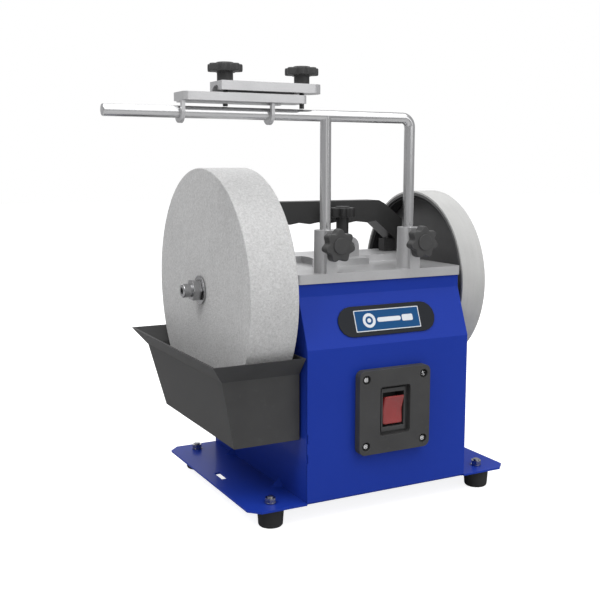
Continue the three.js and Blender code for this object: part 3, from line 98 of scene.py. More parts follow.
class Finish:
    """One material of the machine: its node tree and the shader that ends it."""

    def __init__(self, name, constants):
        self.material = bpy.data.materials.new(name)
        self.material.use_nodes = True
        self.tree = self.material.node_tree
        self.shader = self.tree.nodes["Principled BSDF"]
        for socket, value in constants.items():
            self.shader.inputs[socket].default_value = value

    def node(self, kind, settings, inputs, output=0):
        made = self.tree.nodes.new(kind)
        for setting, value in settings.items():
            if setting == "stops":
                self.set_stops(made.color_ramp, value)
            else:
                setattr(made, setting, value)
        for socket, value in inputs.items():
            self.connect(made.inputs[socket], value)
        return Value(self, made.outputs[output])

    def set_stops(self, ramp, stops):
        while len(ramp.elements) < len(stops):
            ramp.elements.new(1.0)
        for element, (place, shade) in zip(ramp.elements, stops):
            element.position = place
            element.color = (shade, shade, shade, 1.0)

    def connect(self, socket, value):
        if isinstance(value, Value):
            self.tree.links.new(value.socket, socket)
        else:
            socket.default_value = value

    def place(self, stretch=(1.0, 1.0, 1.0)):
        here = self.node("ShaderNodeTexCoord", {}, {}, "Object")
        return self.node("ShaderNodeMapping", {}, {"Vector": here, "Scale": stretch})

    def noise(self, scale, detail=2.0, stretch=(1.0, 1.0, 1.0)):
        return self.node("ShaderNodeTexNoise", {},
                         {"Vector": self.place(stretch), "Scale": scale, "Detail": detail})

    def cells(self, scale):
        return self.node("ShaderNodeTexVoronoi", {}, {"Vector": self.place(), "Scale": scale})

    def ramp(self, value, stops):
        return self.node("ShaderNodeValToRGB", {"stops": stops}, {"Fac": value})

    def blend(self, share, first, second):
        made = self.tree.nodes.new("ShaderNodeMix")
        made.data_type = "RGBA"
        self.connect(made.inputs["Factor"], share)
        self.connect(made.inputs[6], first)
        self.connect(made.inputs[7], second)
        return Value(self, made.outputs[2])

    def surface(self, colour, roughness, height=None, depth=0.0001, strength=0.5):
        self.connect(self.shader.inputs["Base Color"], colour)
        self.connect(self.shader.inputs["Roughness"], roughness)
        if height is not None:
            bump = self.node("ShaderNodeBump", {},
                             {"Strength": strength, "Distance": depth, "Height": height})
            self.connect(self.shader.inputs["Normal"], bump)
        return self


def blue_enamel():
    paint = Finish("blue_enamel", {"Metallic": 0.0, "Coat Weight": 0.07, "Coat Roughness": 0.04,
                                   "Specular IOR Level": 0.05})
    drift = paint.noise(9.0, 3.0)
    peel = paint.noise(520.0, 2.0)
    dust = paint.noise(1400.0, 1.0)
    colour = paint.blend(drift, (0.010, 0.032, 0.275, 1), (0.013, 0.041, 0.330, 1))
    dusty = paint.blend((dust > 0.74) * 0.2, colour, (0.05, 0.09, 0.36, 1))
    return paint.surface(dusty, 0.32 + drift * 0.08, peel, 0.00005, 0.12)


def only(piece):
    bpy.ops.object.select_all(action="DESELECT")
    piece.select_set(True)
    bpy.context.view_layer.objects.active = piece


def copy_of(node, name):
    """The solid's own shape as a new mesh, with its corners merged and its flat faces whole."""
    piece = bpy.data.objects.new(name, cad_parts[node].data.copy())
    bpy.context.scene.collection.objects.link(piece)
    piece.data.materials.clear()
    only(piece)
    bpy.ops.mesh.customdata_custom_splitnormals_clear()
    bpy.ops.object.mode_set(mode="EDIT")
    bpy.ops.mesh.select_all(action="SELECT")
    bpy.ops.mesh.remove_doubles(threshold=0.005 * MM)
    bpy.ops.mesh.dissolve_limited(angle_limit=math.radians(0.4))
    bpy.ops.object.mode_set(mode="OBJECT")
    return piece


def apply_modifier(piece, kind, **settings):
    only(piece)
    modifier = piece.modifiers.new(kind.title(), kind)
    for setting, value in settings.items():
        setattr(modifier, setting, value)
    bpy.ops.object.modifier_apply(modifier=modifier.name)


def round_edges(piece, width, sharper_than=30, steps=3):
    apply_modifier(piece, "BEVEL", width=width, segments=steps, limit_method="ANGLE",
                   angle_limit=math.radians(sharper_than), use_clamp_overlap=True)


def fix(piece, body, finish, slot, *nodes):
    """Smooths a finished piece, gives it its finish and fixes it to its body."""
    only(piece)
    bpy.ops.object.shade_smooth_by_angle(angle=math.radians(38))
    apply_modifier(piece, "WEIGHTED_NORMAL", keep_sharp=True)
    piece.data.materials.clear()
    piece.data.materials.append(finish.material)
    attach(piece, body)
    if nodes:
        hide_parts(*nodes)
    return piece


enamel = blue_enamel()
for panel in ["left_side_panel", "right_side_panel", "front_panel", "back_panel", "bottom_plate"]:
    sheet = copy_of(panel, panel.replace("panel", "sheet").replace("plate", "sheet"))
    round_edges(sheet, 0.55 * MM, sharper_than=18)
    fix(sheet, "housing", enamel, "blue_paint", panel)


# ---- Panel screws -------------------------------------------------------------------------------
# Four plated pan-head screws with cross recesses hold the back panel at its corners.
def turned_steel(name, shade, roughness):
    steel = Finish(name, {"Metallic": 1.0})
    drift = steel.noise(45.0, 3.0)
    lines = steel.noise(900.0, 2.0, (1.0, 0.06, 1.0))
    colour = steel.blend(drift, (shade, shade, shade * 1.01, 1),
                         (shade * 1.25, shade * 1.25, shade * 1.27, 1))
    return steel.surface(colour, roughness + lines * 0.14, lines, 0.00003, 0.25)


def pick(piece, kind, chosen):
    """Selects, in edit mode, the corners, edges or faces that pass a test of their place."""
    only(piece)
    bpy.ops.object.mode_set(mode="EDIT")
    bpy.ops.mesh.select_mode(type=kind)
    bpy.ops.mesh.select_all(action="DESELECT")
    bpy.ops.object.mode_set(mode="OBJECT")
    mesh = piece.data
    if kind == "FACE":
        for face in mesh.polygons:
            face.select = chosen(face.center, face.normal)
    elif kind == "EDGE":
        for edge in mesh.edges:
            first, second = (mesh.vertices[index].co for index in edge.vertices)
            edge.select = chosen(first, second)
    else:
        for corner in mesh.vertices:
            corner.select = chosen(corner.co)
    bpy.ops.object.mode_set(mode="EDIT")


def cylinder(name, radius, low, high, sides):
    """A round bar along Z at the origin, as the start of a turned or moulded piece."""
    bpy.ops.object.select_all(action="DESELECT")
    bpy.ops.mesh.primitive_cylinder_add(vertices=sides, radius=radius, depth=high - low,
                                        location=(0, 0, (low + high) / 2))
    piece = bpy.context.object
    piece.name = piece.data.name = name
    bpy.ops.object.transform_apply(location=True, rotation=True, scale=True)
    return piece


def boolean(piece, operation, tool):
    apply_modifier(piece, "BOOLEAN", operation=operation, object=tool, solver="EXACT")
    bpy.data.objects.remove(tool)


def bevel_picked(width, steps):
    bpy.ops.mesh.bevel(offset=width, segments=steps, affect="EDGES")
    bpy.ops.object.mode_set(mode="OBJECT")


def put_in_place(piece, place, turn=None):
    piece.data.transform(Matrix.Translation(place) @ (turn or Matrix.Identity(4)))
    return piece


def own_copy(piece, name):
    twin = bpy.data.objects.new(name, piece.data.copy())
    bpy.context.scene.collection.objects.link(twin)
    return twin


plated_steel = turned_steel("zinc_plated_steel", 0.34, 0.17)
head_height = 2.2 * MM
pan_head = cylinder("pan_head_pattern", 4.0 * MM, 0.0, head_height, 32)
pick(pan_head, "EDGE", lambda a, b: min(a.z, b.z) > head_height - 0.1 * MM)
bevel_picked(1.2 * MM, 4)
for turn in (0, 90):
    bpy.ops.object.select_all(action="DESELECT")
    bpy.ops.mesh.primitive_cube_add(size=1, location=(0, 0, head_height), rotation=(0, 0, math.radians(turn)),
                                    scale=(4.2 * MM, 1.0 * MM, head_height))
    boolean(pan_head, "DIFFERENCE", bpy.context.object)
low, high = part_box("back_panel")
facing_back = Matrix.Rotation(math.radians(-90), 4, "X")
side_edge, foot_edge, top_edge = 10 * MM, 14 * MM, 12 * MM
for across, side in [(low.x + side_edge, "left"), (high.x - side_edge, "right")]:
    for height, level in [(low.z + foot_edge, "bottom"), (high.z - top_edge, "top")]:
        screw = own_copy(pan_head, f"panel_screw_{level}_{side}")
        put_in_place(screw, Vector((across, high.y, height)), facing_back)
        fix(screw, "housing", plated_steel, "steel")
bpy.data.objects.remove(pan_head)


# ---- Feet ---------------------------------------------------------------------------------------
# Four tapered black rubber feet, each moulded on a zinc-plated stud that comes up through the
# flange and is held there by a washer and a nut.
def moulded_rubber(name, shade):
    rubber = Finish(name, {"Metallic": 0.0, "Specular IOR Level": 0.35})
    bloom = rubber.noise(60.0, 4.0)
    grain = rubber.noise(1800.0, 2.0)
    colour = rubber.blend(bloom, (shade, shade, shade, 1), (2.4 * shade, 2.4 * shade, 2.5 * shade, 1))
    return rubber.surface(colour, 0.72 + bloom * 0.2, grain, 0.00012, 0.35)


foot_rubber = moulded_rubber("foot_rubber", 0.014)
corners = [(end, hand) for end in ("front", "rear") for hand in ("left", "right")]
for end, hand in corners:
    foot = copy_of(f"foot_{end}_{hand}", f"rubber_foot_{end}_{hand}")
    round_edges(foot, 0.9 * MM, sharper_than=35)
    fix(foot, "housing", foot_rubber, "foot_rubber", f"foot_{end}_{hand}")
    stud = copy_of(f"foot_stud_{end}_{hand}", f"foot_nut_{end}_{hand}")
    round_edges(stud, 0.35 * MM, sharper_than=35, steps=2)
    fix(stud, "housing", plated_steel, "steel", f"foot_stud_{end}_{hand}")


# ---- Cast top -----------------------------------------------------------------------------------
# One light-alloy casting, shot-blasted all over: the plate with its raised platform, two upright
# sleeves with a boss for the clamp screw, and one level sleeve.
def cast_alloy(name, shade, grain_size):
    alloy = Finish(name, {"Metallic": 0.6, "Specular IOR Level": 0.4})
    drift = alloy.noise(28.0, 4.0)
    grain = alloy.noise(grain_size, 3.0)
    pits = alloy.cells(grain_size * 0.6)
    colour = alloy.blend(drift, (shade, shade, shade * 1.01, 1), (shade * 1.3, shade * 1.3, shade * 1.31, 1))
    pitted = alloy.blend((pits < 0.16) * 0.35, colour, (shade * 0.5, shade * 0.5, shade * 0.5, 1))
    return alloy.surface(pitted, 0.26 + grain * 0.14, grain + pits * 0.4, 0.00008, 0.25)


top_alloy = cast_alloy("blasted_alloy", 0.42, 950.0)
top_casting = copy_of("top_plate", "top_casting")
round_edges(top_casting, 0.8 * MM, sharper_than=32)
fix(top_casting, "housing", top_alloy, "cast_alloy", "top_plate")


# ---- Star knobs ---------------------------------------------------------------------------------
# Moulded seven-lobed knobs of black plastic on a steel screw: two clamp the support's legs, one the
# level sleeve and two close the jig. The lobes are full and round and the face has a round cap.
def moulded_plastic(name, colour, roughness, grain_size, coat=0.0):
    plastic = Finish(name, {"Metallic": 0.0, "Specular IOR Level": 0.45, "Coat Weight": coat})
    drift = plastic.noise(35.0, 3.0)
    grain = plastic.noise(grain_size, 2.0)
    scuffs = plastic.noise(160.0, 6.0, (1.0, 0.25, 1.0))
    darker = tuple(0.75 * part for part in colour) + (1,)
    lighter = tuple(1.45 * part for part in colour) + (1,)
    plain = plastic.blend(drift, darker, lighter)
    scuffed = plastic.blend((scuffs > 0.68) * 0.18, plain, tuple(1.9 * part for part in colour) + (1,))
    return plastic.surface(scuffed, roughness + drift * 0.12, grain, 0.0001, 0.3)


def star_knob(name, radius, head, hub, hub_radius, screw_radius, screw_length):
    lobes = 7
    steps = 6
    knob = cylinder(name, radius, hub, hub + head - 1.2 * MM, steps * lobes)
    for share, scale in [(1, 0.965), (2, 0.83), (3, 0.75), (4, 0.83), (5, 0.965)]:
        def in_valley(corner, share=share):
            turn = math.atan2(corner.x, corner.y) / (2 * math.pi)
            return round(turn * steps * lobes) % steps == share
        pick(knob, "VERT", in_valley)
        bpy.ops.transform.resize(value=(scale, scale, 1.0))
        bpy.ops.object.mode_set(mode="OBJECT")
    pick(knob, "EDGE", lambda a, b: abs(a.z - b.z) < 0.1 * MM)
    bevel_picked(1.2 * MM, 2)
    apply_modifier(knob, "SUBSURF", levels=2, render_levels=2)
    cap = cylinder("cap", 8 * MM, hub + head - 3 * MM, hub + head, 40)
    pick(cap, "EDGE", lambda a, b: min(a.z, b.z) > hub + head - 0.1 * MM)
    bevel_picked(0.5 * MM, 3)
    boolean(knob, "UNION", cap)
    collar = cylinder("collar", hub_radius, 0.0, hub + 2 * MM, 32)
    pick(collar, "EDGE", lambda a, b: max(a.z, b.z) < 0.1 * MM)
    bevel_picked(0.6 * MM, 2)
    boolean(knob, "UNION", collar)
    boolean(knob, "UNION", cylinder("screw", screw_radius, -screw_length, 1 * MM, 20))
    return knob


knob_plastic = moulded_plastic("black_knob_plastic", (0.036, 0.036, 0.036), 0.46, 1500.0)
handle_plastic = moulded_plastic("handle_plastic", (0.016, 0.016, 0.016), 0.36, 1100.0)
facing_front = Matrix.Rotation(math.radians(90), 4, "X")
sleeve_head, sleeve_hub = 12 * MM, 5 * MM
sleeve_pattern = star_knob("sleeve_knob_pattern", 16.8 * MM, sleeve_head, sleeve_hub, 9 * MM, 3 * MM, 8 * MM)
for hand, body in [("left", "left_clamp_knob"), ("right", "right_clamp_knob")]:
    low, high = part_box(f"sleeve_knob_{hand}")
    knob = own_copy(sleeve_pattern, f"star_knob_sleeve_{hand}")
    seat = Vector(((low.x + high.x) / 2, low.y + sleeve_head + sleeve_hub, (low.z + high.z) / 2))
    put_in_place(knob, seat, facing_front)
    fix(knob, body, knob_plastic, "black_plastic", f"sleeve_knob_{hand}")
bpy.data.objects.remove(sleeve_pattern)

low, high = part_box("level_sleeve_knob")
level_head, level_hub = 12 * MM, 19.5 * MM
knob = star_knob("star_knob_level", 14.6 * MM, level_head, level_hub, 6.8 * MM, 3 * MM, 5 * MM)
put_in_place(knob, Vector(((low.x + high.x) / 2, (low.y + high.y) / 2, high.z - level_head - level_hub)))
fix(knob, "level_clamp_knob", handle_plastic, "black_plastic", "level_sleeve_knob")

jig_head, jig_hub = 8.5 * MM, 8.2 * MM
jig_pattern = star_knob("jig_knob_pattern", 16.7 * MM, jig_head, jig_hub, 7.4 * MM, 2.3 * MM, 22.6 * MM)
for hand in ("left", "right"):
    low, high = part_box(f"jig_knob_{hand}")
    knob = own_copy(jig_pattern, f"star_knob_jig_{hand}")
    put_in_place(knob, Vector(((low.x + high.x) / 2, (low.y + high.y) / 2, high.z - jig_head - jig_hub)))
    fix(knob, f"jig_{hand}_screw", knob_plastic, "black_plastic", f"jig_knob_{hand}")
bpy.data.objects.remove(jig_pattern)


# ---- Tool support -------------------------------------------------------------------------------
# A ground and polished round bar: one leg is bent down from the bar, the other is welded under it,
# and the bar runs out over the stone to a chamfered free end.
def polished_bar():
    steel = Finish("polished_steel", {"Metallic": 1.0})
    drift = steel.noise(20.0, 3.0)
    grind = steel.noise(1300.0, 2.0, (0.05, 1.0, 0.05))
    colour = steel.blend(drift, (0.54, 0.54, 0.543, 1), (0.66, 0.66, 0.663, 1))
    return steel.surface(colour, 0.19 + grind * 0.08, grind, 0.00002, 0.12)


low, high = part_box("universal_support")
bar_radius = (high.y - low.y) / 2
bend_radius = 9 * MM
leg_spacing = 98 * MM
bar_height = high.z - bar_radius
right_leg = high.x - bar_radius
left_leg = right_leg - leg_spacing
leg_plane = (low.y + high.y) / 2
bpy.ops.object.select_all(action="DESELECT")
bpy.ops.mesh.primitive_circle_add(vertices=32, radius=bar_radius, fill_type="NGON",
                                  location=(right_leg, leg_plane, low.z))
support = bpy.context.object
support.name = support.data.name = "bar_support"
bpy.ops.object.transform_apply(location=True, rotation=True, scale=True)
bpy.ops.object.mode_set(mode="EDIT")
bpy.ops.mesh.select_all(action="SELECT")
straight = bar_height - bend_radius - low.z
bpy.ops.mesh.extrude_region_move(TRANSFORM_OT_translate={"value": (0, 0, straight)})
bpy.ops.mesh.spin(steps=12, angle=math.radians(90), axis=(0, 1, 0),
                  center=(right_leg - bend_radius, leg_plane, bar_height - bend_radius))
reach = right_leg - bend_radius - low.x
bpy.ops.mesh.extrude_region_move(TRANSFORM_OT_translate={"value": (-reach, 0, 0)})
bpy.ops.mesh.select_all(action="SELECT")
bpy.ops.mesh.remove_doubles(threshold=0.01 * MM)
bpy.ops.mesh.normals_make_consistent(inside=False)
bpy.ops.object.mode_set(mode="OBJECT")
second_leg = cylinder("welded_leg", bar_radius, low.z, bar_height, 32)
put_in_place(second_leg, Vector((left_leg, leg_plane, 0)))
boolean(support, "UNION", second_leg)
pick(support, "EDGE", lambda a, b: max(a.z, b.z) < low.z + 0.1 * MM or max(a.x, b.x) < low.x + 0.1 * MM)
bevel_picked(1.0 * MM, 3)
bar_steel = polished_bar()
fix(support, "tool_support", bar_steel, "chrome_steel", "universal_support")


# ---- Straight-edge jig --------------------------------------------------------------------------
# Two alloy castings that pinch a blade between them: a ribbed base with hooks round the bar, and a
# hollow clamp bar with a rounded nose, drawn down by two knob screws.
jig_alloy = cast_alloy("tumbled_alloy", 0.46, 1300.0)
for node, name, body in [("jig_base", "jig_base_casting", "jig"),
                         ("jig_clamp_bar", "jig_clamp_casting", "jig_clamp")]:
    casting = copy_of(node, name)
    round_edges(casting, 0.6 * MM, sharper_than=32)
    fix(casting, body, jig_alloy, "cast_grey", node)


# ---- Grindstone ---------------------------------------------------------------------------------
# A broad wheel of bonded abrasive grain, pale grey, trued on its rim and moulded rough on its
# sides, with a lightly broken edge and a bore for the spindle.
def bonded_grain():
    stone = Finish("bonded_grain", {"Metallic": 0.0, "Specular IOR Level": 0.15})
    patches = stone.noise(38.0, 5.0)
    clumps = stone.noise(430.0, 4.0)
    grit = stone.noise(1500.0, 2.0)
    pores = stone.cells(620.0)
    tracks = stone.noise(420.0, 2.0, (1.0, 0.0, 0.0))
    tone = stone.ramp(clumps * 0.45 + patches * 0.1 + grit * 0.45, [(0.30, 0.0), (0.70, 1.0)])
    body = stone.blend(tone, (0.39, 0.39, 0.388, 1), (0.66, 0.66, 0.657, 1))
    pored = stone.blend((pores < 0.17) * 0.4, body, (0.26, 0.26, 0.26, 1))
    height = clumps * 0.7 + grit * 0.8 - (pores < 0.2) * 0.35 + tracks * 0.2
    return stone.surface(pored, 0.93, height, 0.0010, 0.8)


def ring_along_x(name, node, bore_radius, sides, edge, edge_steps=3):
    """A wheel round the spindle with the outside size of its solid, bored and with broken edges."""
    low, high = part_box(node)
    outer = (high.z - low.z) / 2
    middle = (low + high) / 2
    ring = cylinder(name, outer, -(high.x - low.x) / 2, (high.x - low.x) / 2, sides)
    pick(ring, "FACE", lambda centre, normal: abs(normal.z) > 0.9)
    bpy.ops.mesh.inset(thickness=outer - bore_radius, use_boundary=True)
    bpy.ops.mesh.bridge_edge_loops()
    bpy.ops.object.mode_set(mode="OBJECT")
    pick(ring, "EDGE", lambda a, b: abs(a.z - b.z) < 0.01 * MM
         and min(math.hypot(a.x, a.y), math.hypot(b.x, b.y)) > outer - 0.1 * MM)
    bevel_picked(edge, edge_steps)
    return put_in_place(ring, middle, Matrix.Rotation(math.radians(90), 4, "Y"))


spindle_bore = 6.3 * MM
stone = ring_along_x("stone_wheel", "grindstone", spindle_bore, 180, 1.2 * MM)
fix(stone, "wheels", bonded_grain(), "grinding_stone", "grindstone")


# ---- Spindle fittings ---------------------------------------------------------------------------
# Plated washers either side of the stone, its collared nut with a socket in the end, the spindle
# itself, and the nut that holds the honing wheel.
for node in ["stone_washer_outer", "stone_washer_inner", "stone_nut", "spindle", "honing_nut"]:
    fitting = copy_of(node, f"plated_{node}")
    round_edges(fitting, 0.4 * MM, sharper_than=35, steps=2)
    fix(fitting, "wheels", plated_steel, "steel", node)


# ---- Honing wheel -------------------------------------------------------------------------------
# A moulded hub, open like a cup towards the housing, with a band of undyed leather glued round it,
# rough side out. The motor's roller runs on the rubber lining inside the cup's rim.
def undyed_leather():
    leather = Finish("undyed_leather", {"Metallic": 0.0, "Specular IOR Level": 0.25})
    patches = leather.noise(30.0, 4.0)
    fibres = leather.noise(900.0, 5.0)
    streaks = leather.noise(500.0, 3.0, (1.0, 0.05, 0.05))
    colour = leather.blend(patches * 0.6 + streaks * 0.4, (0.355, 0.355, 0.35, 1), (0.50, 0.50, 0.49, 1))
    rubbed = leather.blend((fibres > 0.62) * 0.35, colour, (0.36, 0.35, 0.33, 1))
    return leather.surface(rubbed, 0.82 + fibres * 0.12, fibres + streaks * 0.5, 0.0003, 0.4)


trough_plastic = moulded_plastic("charcoal_plastic", (0.032, 0.032, 0.032), 0.58, 900.0)
# The hub's plastic is painted a lighter grey than the other dark plastics: painted light that makes up for
# the shade its face sits in.
hub_plastic_painted_light = moulded_plastic("hub_plastic_painted_light", (0.085, 0.085, 0.085), 0.50, 900.0)
leather_thickness = 2.2 * MM
low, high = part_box("leather_band")
band_bore = (high.z - low.z) / 2 - leather_thickness
band = ring_along_x("leather_band_glued", "leather_band", band_bore, 160, 0.6 * MM, 2)
fix(band, "wheels", undyed_leather(), "honing_leather", "leather_band")
hub = copy_of("honing_hub", "honing_wheel_hub")
round_edges(hub, 0.6 * MM, sharper_than=32)
fix(hub, "wheels", hub_plastic_painted_light, "dark_plastic", "honing_hub")
lining_thickness = 2.4 * MM
low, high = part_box("drive_lining")
lining_bore = (high.z - low.z) / 2 - lining_thickness
lining = ring_along_x("rubber_lining", "drive_lining", lining_bore, 120, 0.5 * MM, 2)
fix(lining, "wheels", moulded_rubber("drive_rubber", 0.012), "drive_rubber", "drive_lining")


# ---- Water trough -------------------------------------------------------------------------------
# A deep moulded trough with a flared lip, hung on two headed pins in the left wall so that it can be
# let down to lift the stone out.
trough = copy_of("water_trough", "moulded_trough")
round_edges(trough, 0.8 * MM, sharper_than=12)
fix(trough, "trough", trough_plastic, "dark_plastic", "water_trough")
for end in ("front", "rear"):
    pin = copy_of(f"trough_pin_{end}", f"headed_pin_{end}")
    round_edges(pin, 0.5 * MM, sharper_than=35)
    fix(pin, "housing", plated_steel, "steel", f"trough_pin_{end}")


# ---- Carrying handle ----------------------------------------------------------------------------
# One moulding of black plastic: a grip with shallow finger waves, arms that slope down at both ends
# and feet that are set back a little, each held by a screw from below.
handle = copy_of("carry_handle", "handle_moulding")
round_edges(handle, 3.2 * MM, sharper_than=32, steps=3)
fix(handle, "housing", handle_plastic, "black_plastic", "carry_handle")
for hand in ("left", "right"):
    screw = copy_of(f"handle_screw_{hand}", f"handle_bolt_{hand}")
    round_edges(screw, 0.3 * MM, sharper_than=35, steps=2)
    fix(screw, "housing", plated_steel, "steel", f"handle_screw_{hand}")


# ---- Switch -------------------------------------------------------------------------------------
# A thick plastic cover plate with four cross-head screws in round seats and a recess for the
# rocker switch, whose red rocker is a clear-coated moulding.
switch_plate = copy_of("switch_plate", "switch_cover")
round_edges(switch_plate, 0.9 * MM, sharper_than=32)
fix(switch_plate, "housing", trough_plastic, "dark_plastic", "switch_plate")
for level in ("top", "bottom"):
    for hand in ("left", "right"):
        screw = copy_of(f"switch_screw_{level}_{hand}", f"cover_screw_{level}_{hand}")
        round_edges(screw, 0.2 * MM, sharper_than=35, steps=2)
        fix(screw, "housing", bar_steel, "steel", f"switch_screw_{level}_{hand}")
shell = copy_of("switch_body", "switch_shell")
round_edges(shell, 0.5 * MM, sharper_than=35)
fix(shell, "housing", knob_plastic, "black_plastic", "switch_body")
red_plastic = moulded_plastic("red_rocker_plastic", (0.22, 0.020, 0.020), 0.14, 2200.0, coat=0.4)
rocker = copy_of("switch_rocker", "red_rocker")
round_edges(rocker, 2.2 * MM, sharper_than=25, steps=4)
fix(rocker, "rocker", red_plastic, "red_plastic", "switch_rocker")


# ---- Badge --------------------------------------------------------------------------------------
# A stadium-shaped plastic plate glued to the slanted part of the front, with a printed blue field
# in a pale border. The field carries a plain wheel-and-blade sign.
low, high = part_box("badge")
badge_middle = (low + high) / 2
badge_deep, badge_tall = high.y - low.y, high.z - low.z
badge_face, badge_thick = 31 * MM, 1 * MM
badge_slant = math.atan2(badge_face * badge_deep - badge_thick * badge_tall,
                         badge_face * badge_tall - badge_thick * badge_deep)
badge_turn = Matrix.Rotation(-badge_slant, 4, "X")
outward = badge_turn.to_3x3() @ Vector((0, -1, 0))


def badge_tile(name, width, height, corner, lift, thickness):
    """A thin rounded tile that lies on the badge, `lift` above its middle plane."""
    bpy.ops.object.select_all(action="DESELECT")
    bpy.ops.mesh.primitive_cube_add(size=1, location=(0, 0, 0), scale=(width, thickness, height))
    tile = bpy.context.object
    tile.name = tile.data.name = name
    bpy.ops.object.transform_apply(location=True, rotation=True, scale=True)
    pick(tile, "EDGE", lambda a, b: abs(a.y - b.y) > 0.5 * thickness)
    bevel_picked(corner, 6)
    return put_in_place(tile, badge_middle + outward * lift, badge_turn)


def printed(name, colour, roughness):
    print_film = Finish(name, {"Metallic": 0.0, "Specular IOR Level": 0.2})
    drift = print_film.noise(40.0, 3.0)
    grain = print_film.noise(1600.0, 2.0)
    darker = tuple(0.85 * part for part in colour) + (1,)
    return print_film.surface(print_film.blend(drift, darker, tuple(colour) + (1,)), roughness + drift * 0.1,
                              grain, 0.00004, 0.2)


plate = copy_of("badge", "badge_plate")
round_edges(plate, 0.3 * MM, sharper_than=35, steps=2)
fix(plate, "housing", printed("badge_black", (0.006, 0.008, 0.012), 0.32), "badge_face", "badge")
pale_print = printed("badge_pale", (0.66, 0.69, 0.72), 0.4)
border = badge_tile("badge_border", 77 * MM, 22 * MM, 0.8 * MM, 0.50 * MM, 0.3 * MM)
fix(border, "housing", pale_print, "badge_face")
field = badge_tile("badge_field", 75.2 * MM, 20.2 * MM, 0.5 * MM, 0.62 * MM, 0.3 * MM)
fix(field, "housing", printed("badge_blue", (0.0, 0.060, 0.185), 0.45), "badge_face")
sign = cylinder("badge_wheel_sign", 7.4 * MM, -0.15 * MM, 0.15 * MM, 48)
boolean(sign, "DIFFERENCE", cylinder("sign_hole", 4.4 * MM, -1 * MM, 1 * MM, 48))
boolean(sign, "UNION", cylinder("sign_dot", 2.2 * MM, -0.15 * MM, 0.15 * MM, 32))
sign.data.transform(badge_turn @ Matrix.Rotation(math.radians(90), 4, "X"))
put_in_place(sign, badge_middle + outward * 0.75 * MM + Vector((-22 * MM, 0, 0)))
fix(sign, "housing", pale_print, "badge_face")
for name, length, height, across, corner in [("badge_blade_sign", 28 * MM, 4.6 * MM, 1.5 * MM, 2.2 * MM),
                                             ("badge_grip_sign", 13 * MM, 6.6 * MM, 23.5 * MM, 1.6 * MM)]:
    tile = badge_tile(name, length, height, corner, 0.75 * MM, 0.3 * MM)
    put_in_place(tile, Vector((across, 0, 0)))
    fix(tile, "housing", pale_print, "badge_face")


# ---- Cable gland --------------------------------------------------------------------------------
# A tapered strain relief of black rubber in the back panel.
gland = copy_of("cable_gland", "strain_relief")
round_edges(gland, 0.6 * MM, sharper_than=32)
fix(gland, "housing", foot_rubber, "black_plastic", "cable_gland")


# ---- Drive inside the housing -------------------------------------------------------------------
# Motor, cradle, rod, capacitor and bushes keep the solids' own shape; they are seen only
# through the vents and the roller's slot.
winding_steel = turned_steel("stator_steel", 0.16, 0.42)
bronze = turned_steel("oiled_bronze", 0.30, 0.30)
bronze.surface(bronze.blend(bronze.noise(60.0, 3.0), (0.32, 0.17, 0.06, 1), (0.46, 0.27, 0.11, 1)), 0.34)
inside = {
    winding_steel: ["motor_stator", "motor_cradle", "cradle_bracket"],
    plated_steel: ["motor_rotor", "cradle_rod"],
    top_alloy: ["motor_bell_left", "motor_bell_right", "capacitor"],
    bronze: ["spindle_bush_left", "spindle_bush_right"],
}
for finish, nodes in inside.items():
    for node in nodes:
        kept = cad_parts[node]
        kept.data.materials.clear()
        kept.data.materials.append(finish.material)


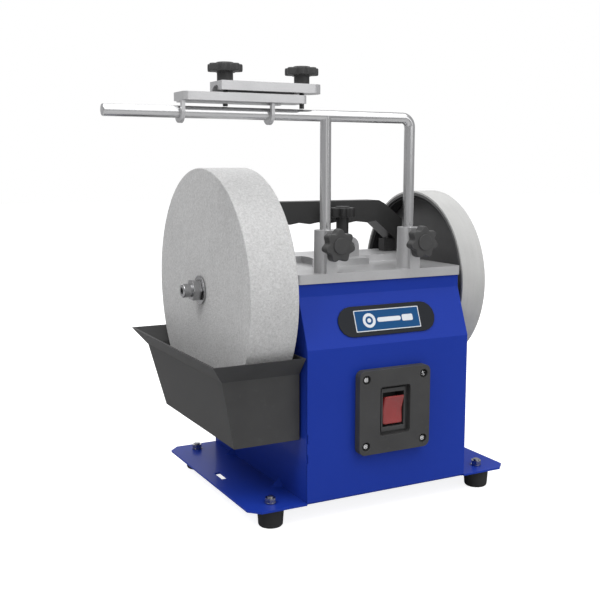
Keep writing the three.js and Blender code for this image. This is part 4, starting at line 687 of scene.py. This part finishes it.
# ---- Bench, light and camera --------------------------------------------------------------------
# A pale seamless bench, large soft lights overhead, in front, at the left and behind, and a long
# lens a metre away.
bpy.ops.object.select_all(action="DESELECT")
bpy.ops.mesh.primitive_plane_add(size=16, location=(0, 0, 0))
bench = bpy.context.object
bench.name = "bench"
pale = Finish("pale_bench", {"Metallic": 0.0, "Specular IOR Level": 0.1, "Emission Strength": 1.0})
seen = pale.node("ShaderNodeLightPath", {}, {}, "Is Camera Ray")
pale.connect(pale.shader.inputs["Emission Color"], seen * 0.84 + 0.02)
pale.surface((0.48, 0.48, 0.48, 1), 0.9)
bench.data.materials.append(pale.material)

world = bpy.data.worlds.new("studio")
bpy.context.scene.world = world
world.use_nodes = True
tree = world.node_tree
room = tree.nodes["Background"]
backdrop = tree.nodes.new("ShaderNodeBackground")
backdrop.inputs["Color"].default_value = (1, 1, 1, 1)
backdrop.inputs["Strength"].default_value = 1.0
room.inputs["Color"].default_value = (0.98, 0.98, 1.0, 1)
room.inputs["Strength"].default_value = 0.50
rays = tree.nodes.new("ShaderNodeLightPath")
either = tree.nodes.new("ShaderNodeMixShader")
tree.links.new(rays.outputs["Is Camera Ray"], either.inputs[0])
tree.links.new(room.outputs[0], either.inputs[1])
tree.links.new(backdrop.outputs[0], either.inputs[2])
tree.links.new(either.outputs[0], tree.nodes["World Output"].inputs["Surface"])

target = (cad_box[0] + cad_box[1]) / 2
for name, place, size, power in [
    ("overhead_light", (0.1, -0.3, 2.0), 2.4, 34),
    ("front_light", (0.7, -2.0, 1.5), 2.2, 21),
    ("left_light", (-1.7, -0.5, 2.0), 1.0, 22),
    ("back_light", (0.3, 2.0, 1.3), 1.8, 9),
]:
    lamp = bpy.data.lights.new(name, "AREA")
    lamp.shape = "SQUARE"
    lamp.size = size
    lamp.energy = power
    light = bpy.data.objects.new(name, lamp)
    light.location = place
    light.rotation_euler = (target - Vector(place)).to_track_quat("-Z", "Y").to_euler()
    bpy.context.scene.collection.objects.link(light)

lens = bpy.data.cameras.new("camera")
lens.lens = 55
lens.sensor_width = 36
camera = bpy.data.objects.new("camera", lens)
bpy.context.scene.collection.objects.link(camera)
aim = target + Vector((19.4, -5.6, -15.9)) * MM
azimuth, elevation = math.radians(-27.53), math.radians(8.27)
back = Vector((math.sin(azimuth) * math.cos(elevation), -math.cos(azimuth) * math.cos(elevation),
               math.sin(elevation)))
camera.location = aim + back * 1.0
camera.rotation_euler = (-back).to_track_quat("-Z", "Y").to_euler()
bpy.context.scene.camera = camera
bpy.context.scene.view_settings.view_transform = "Standard"
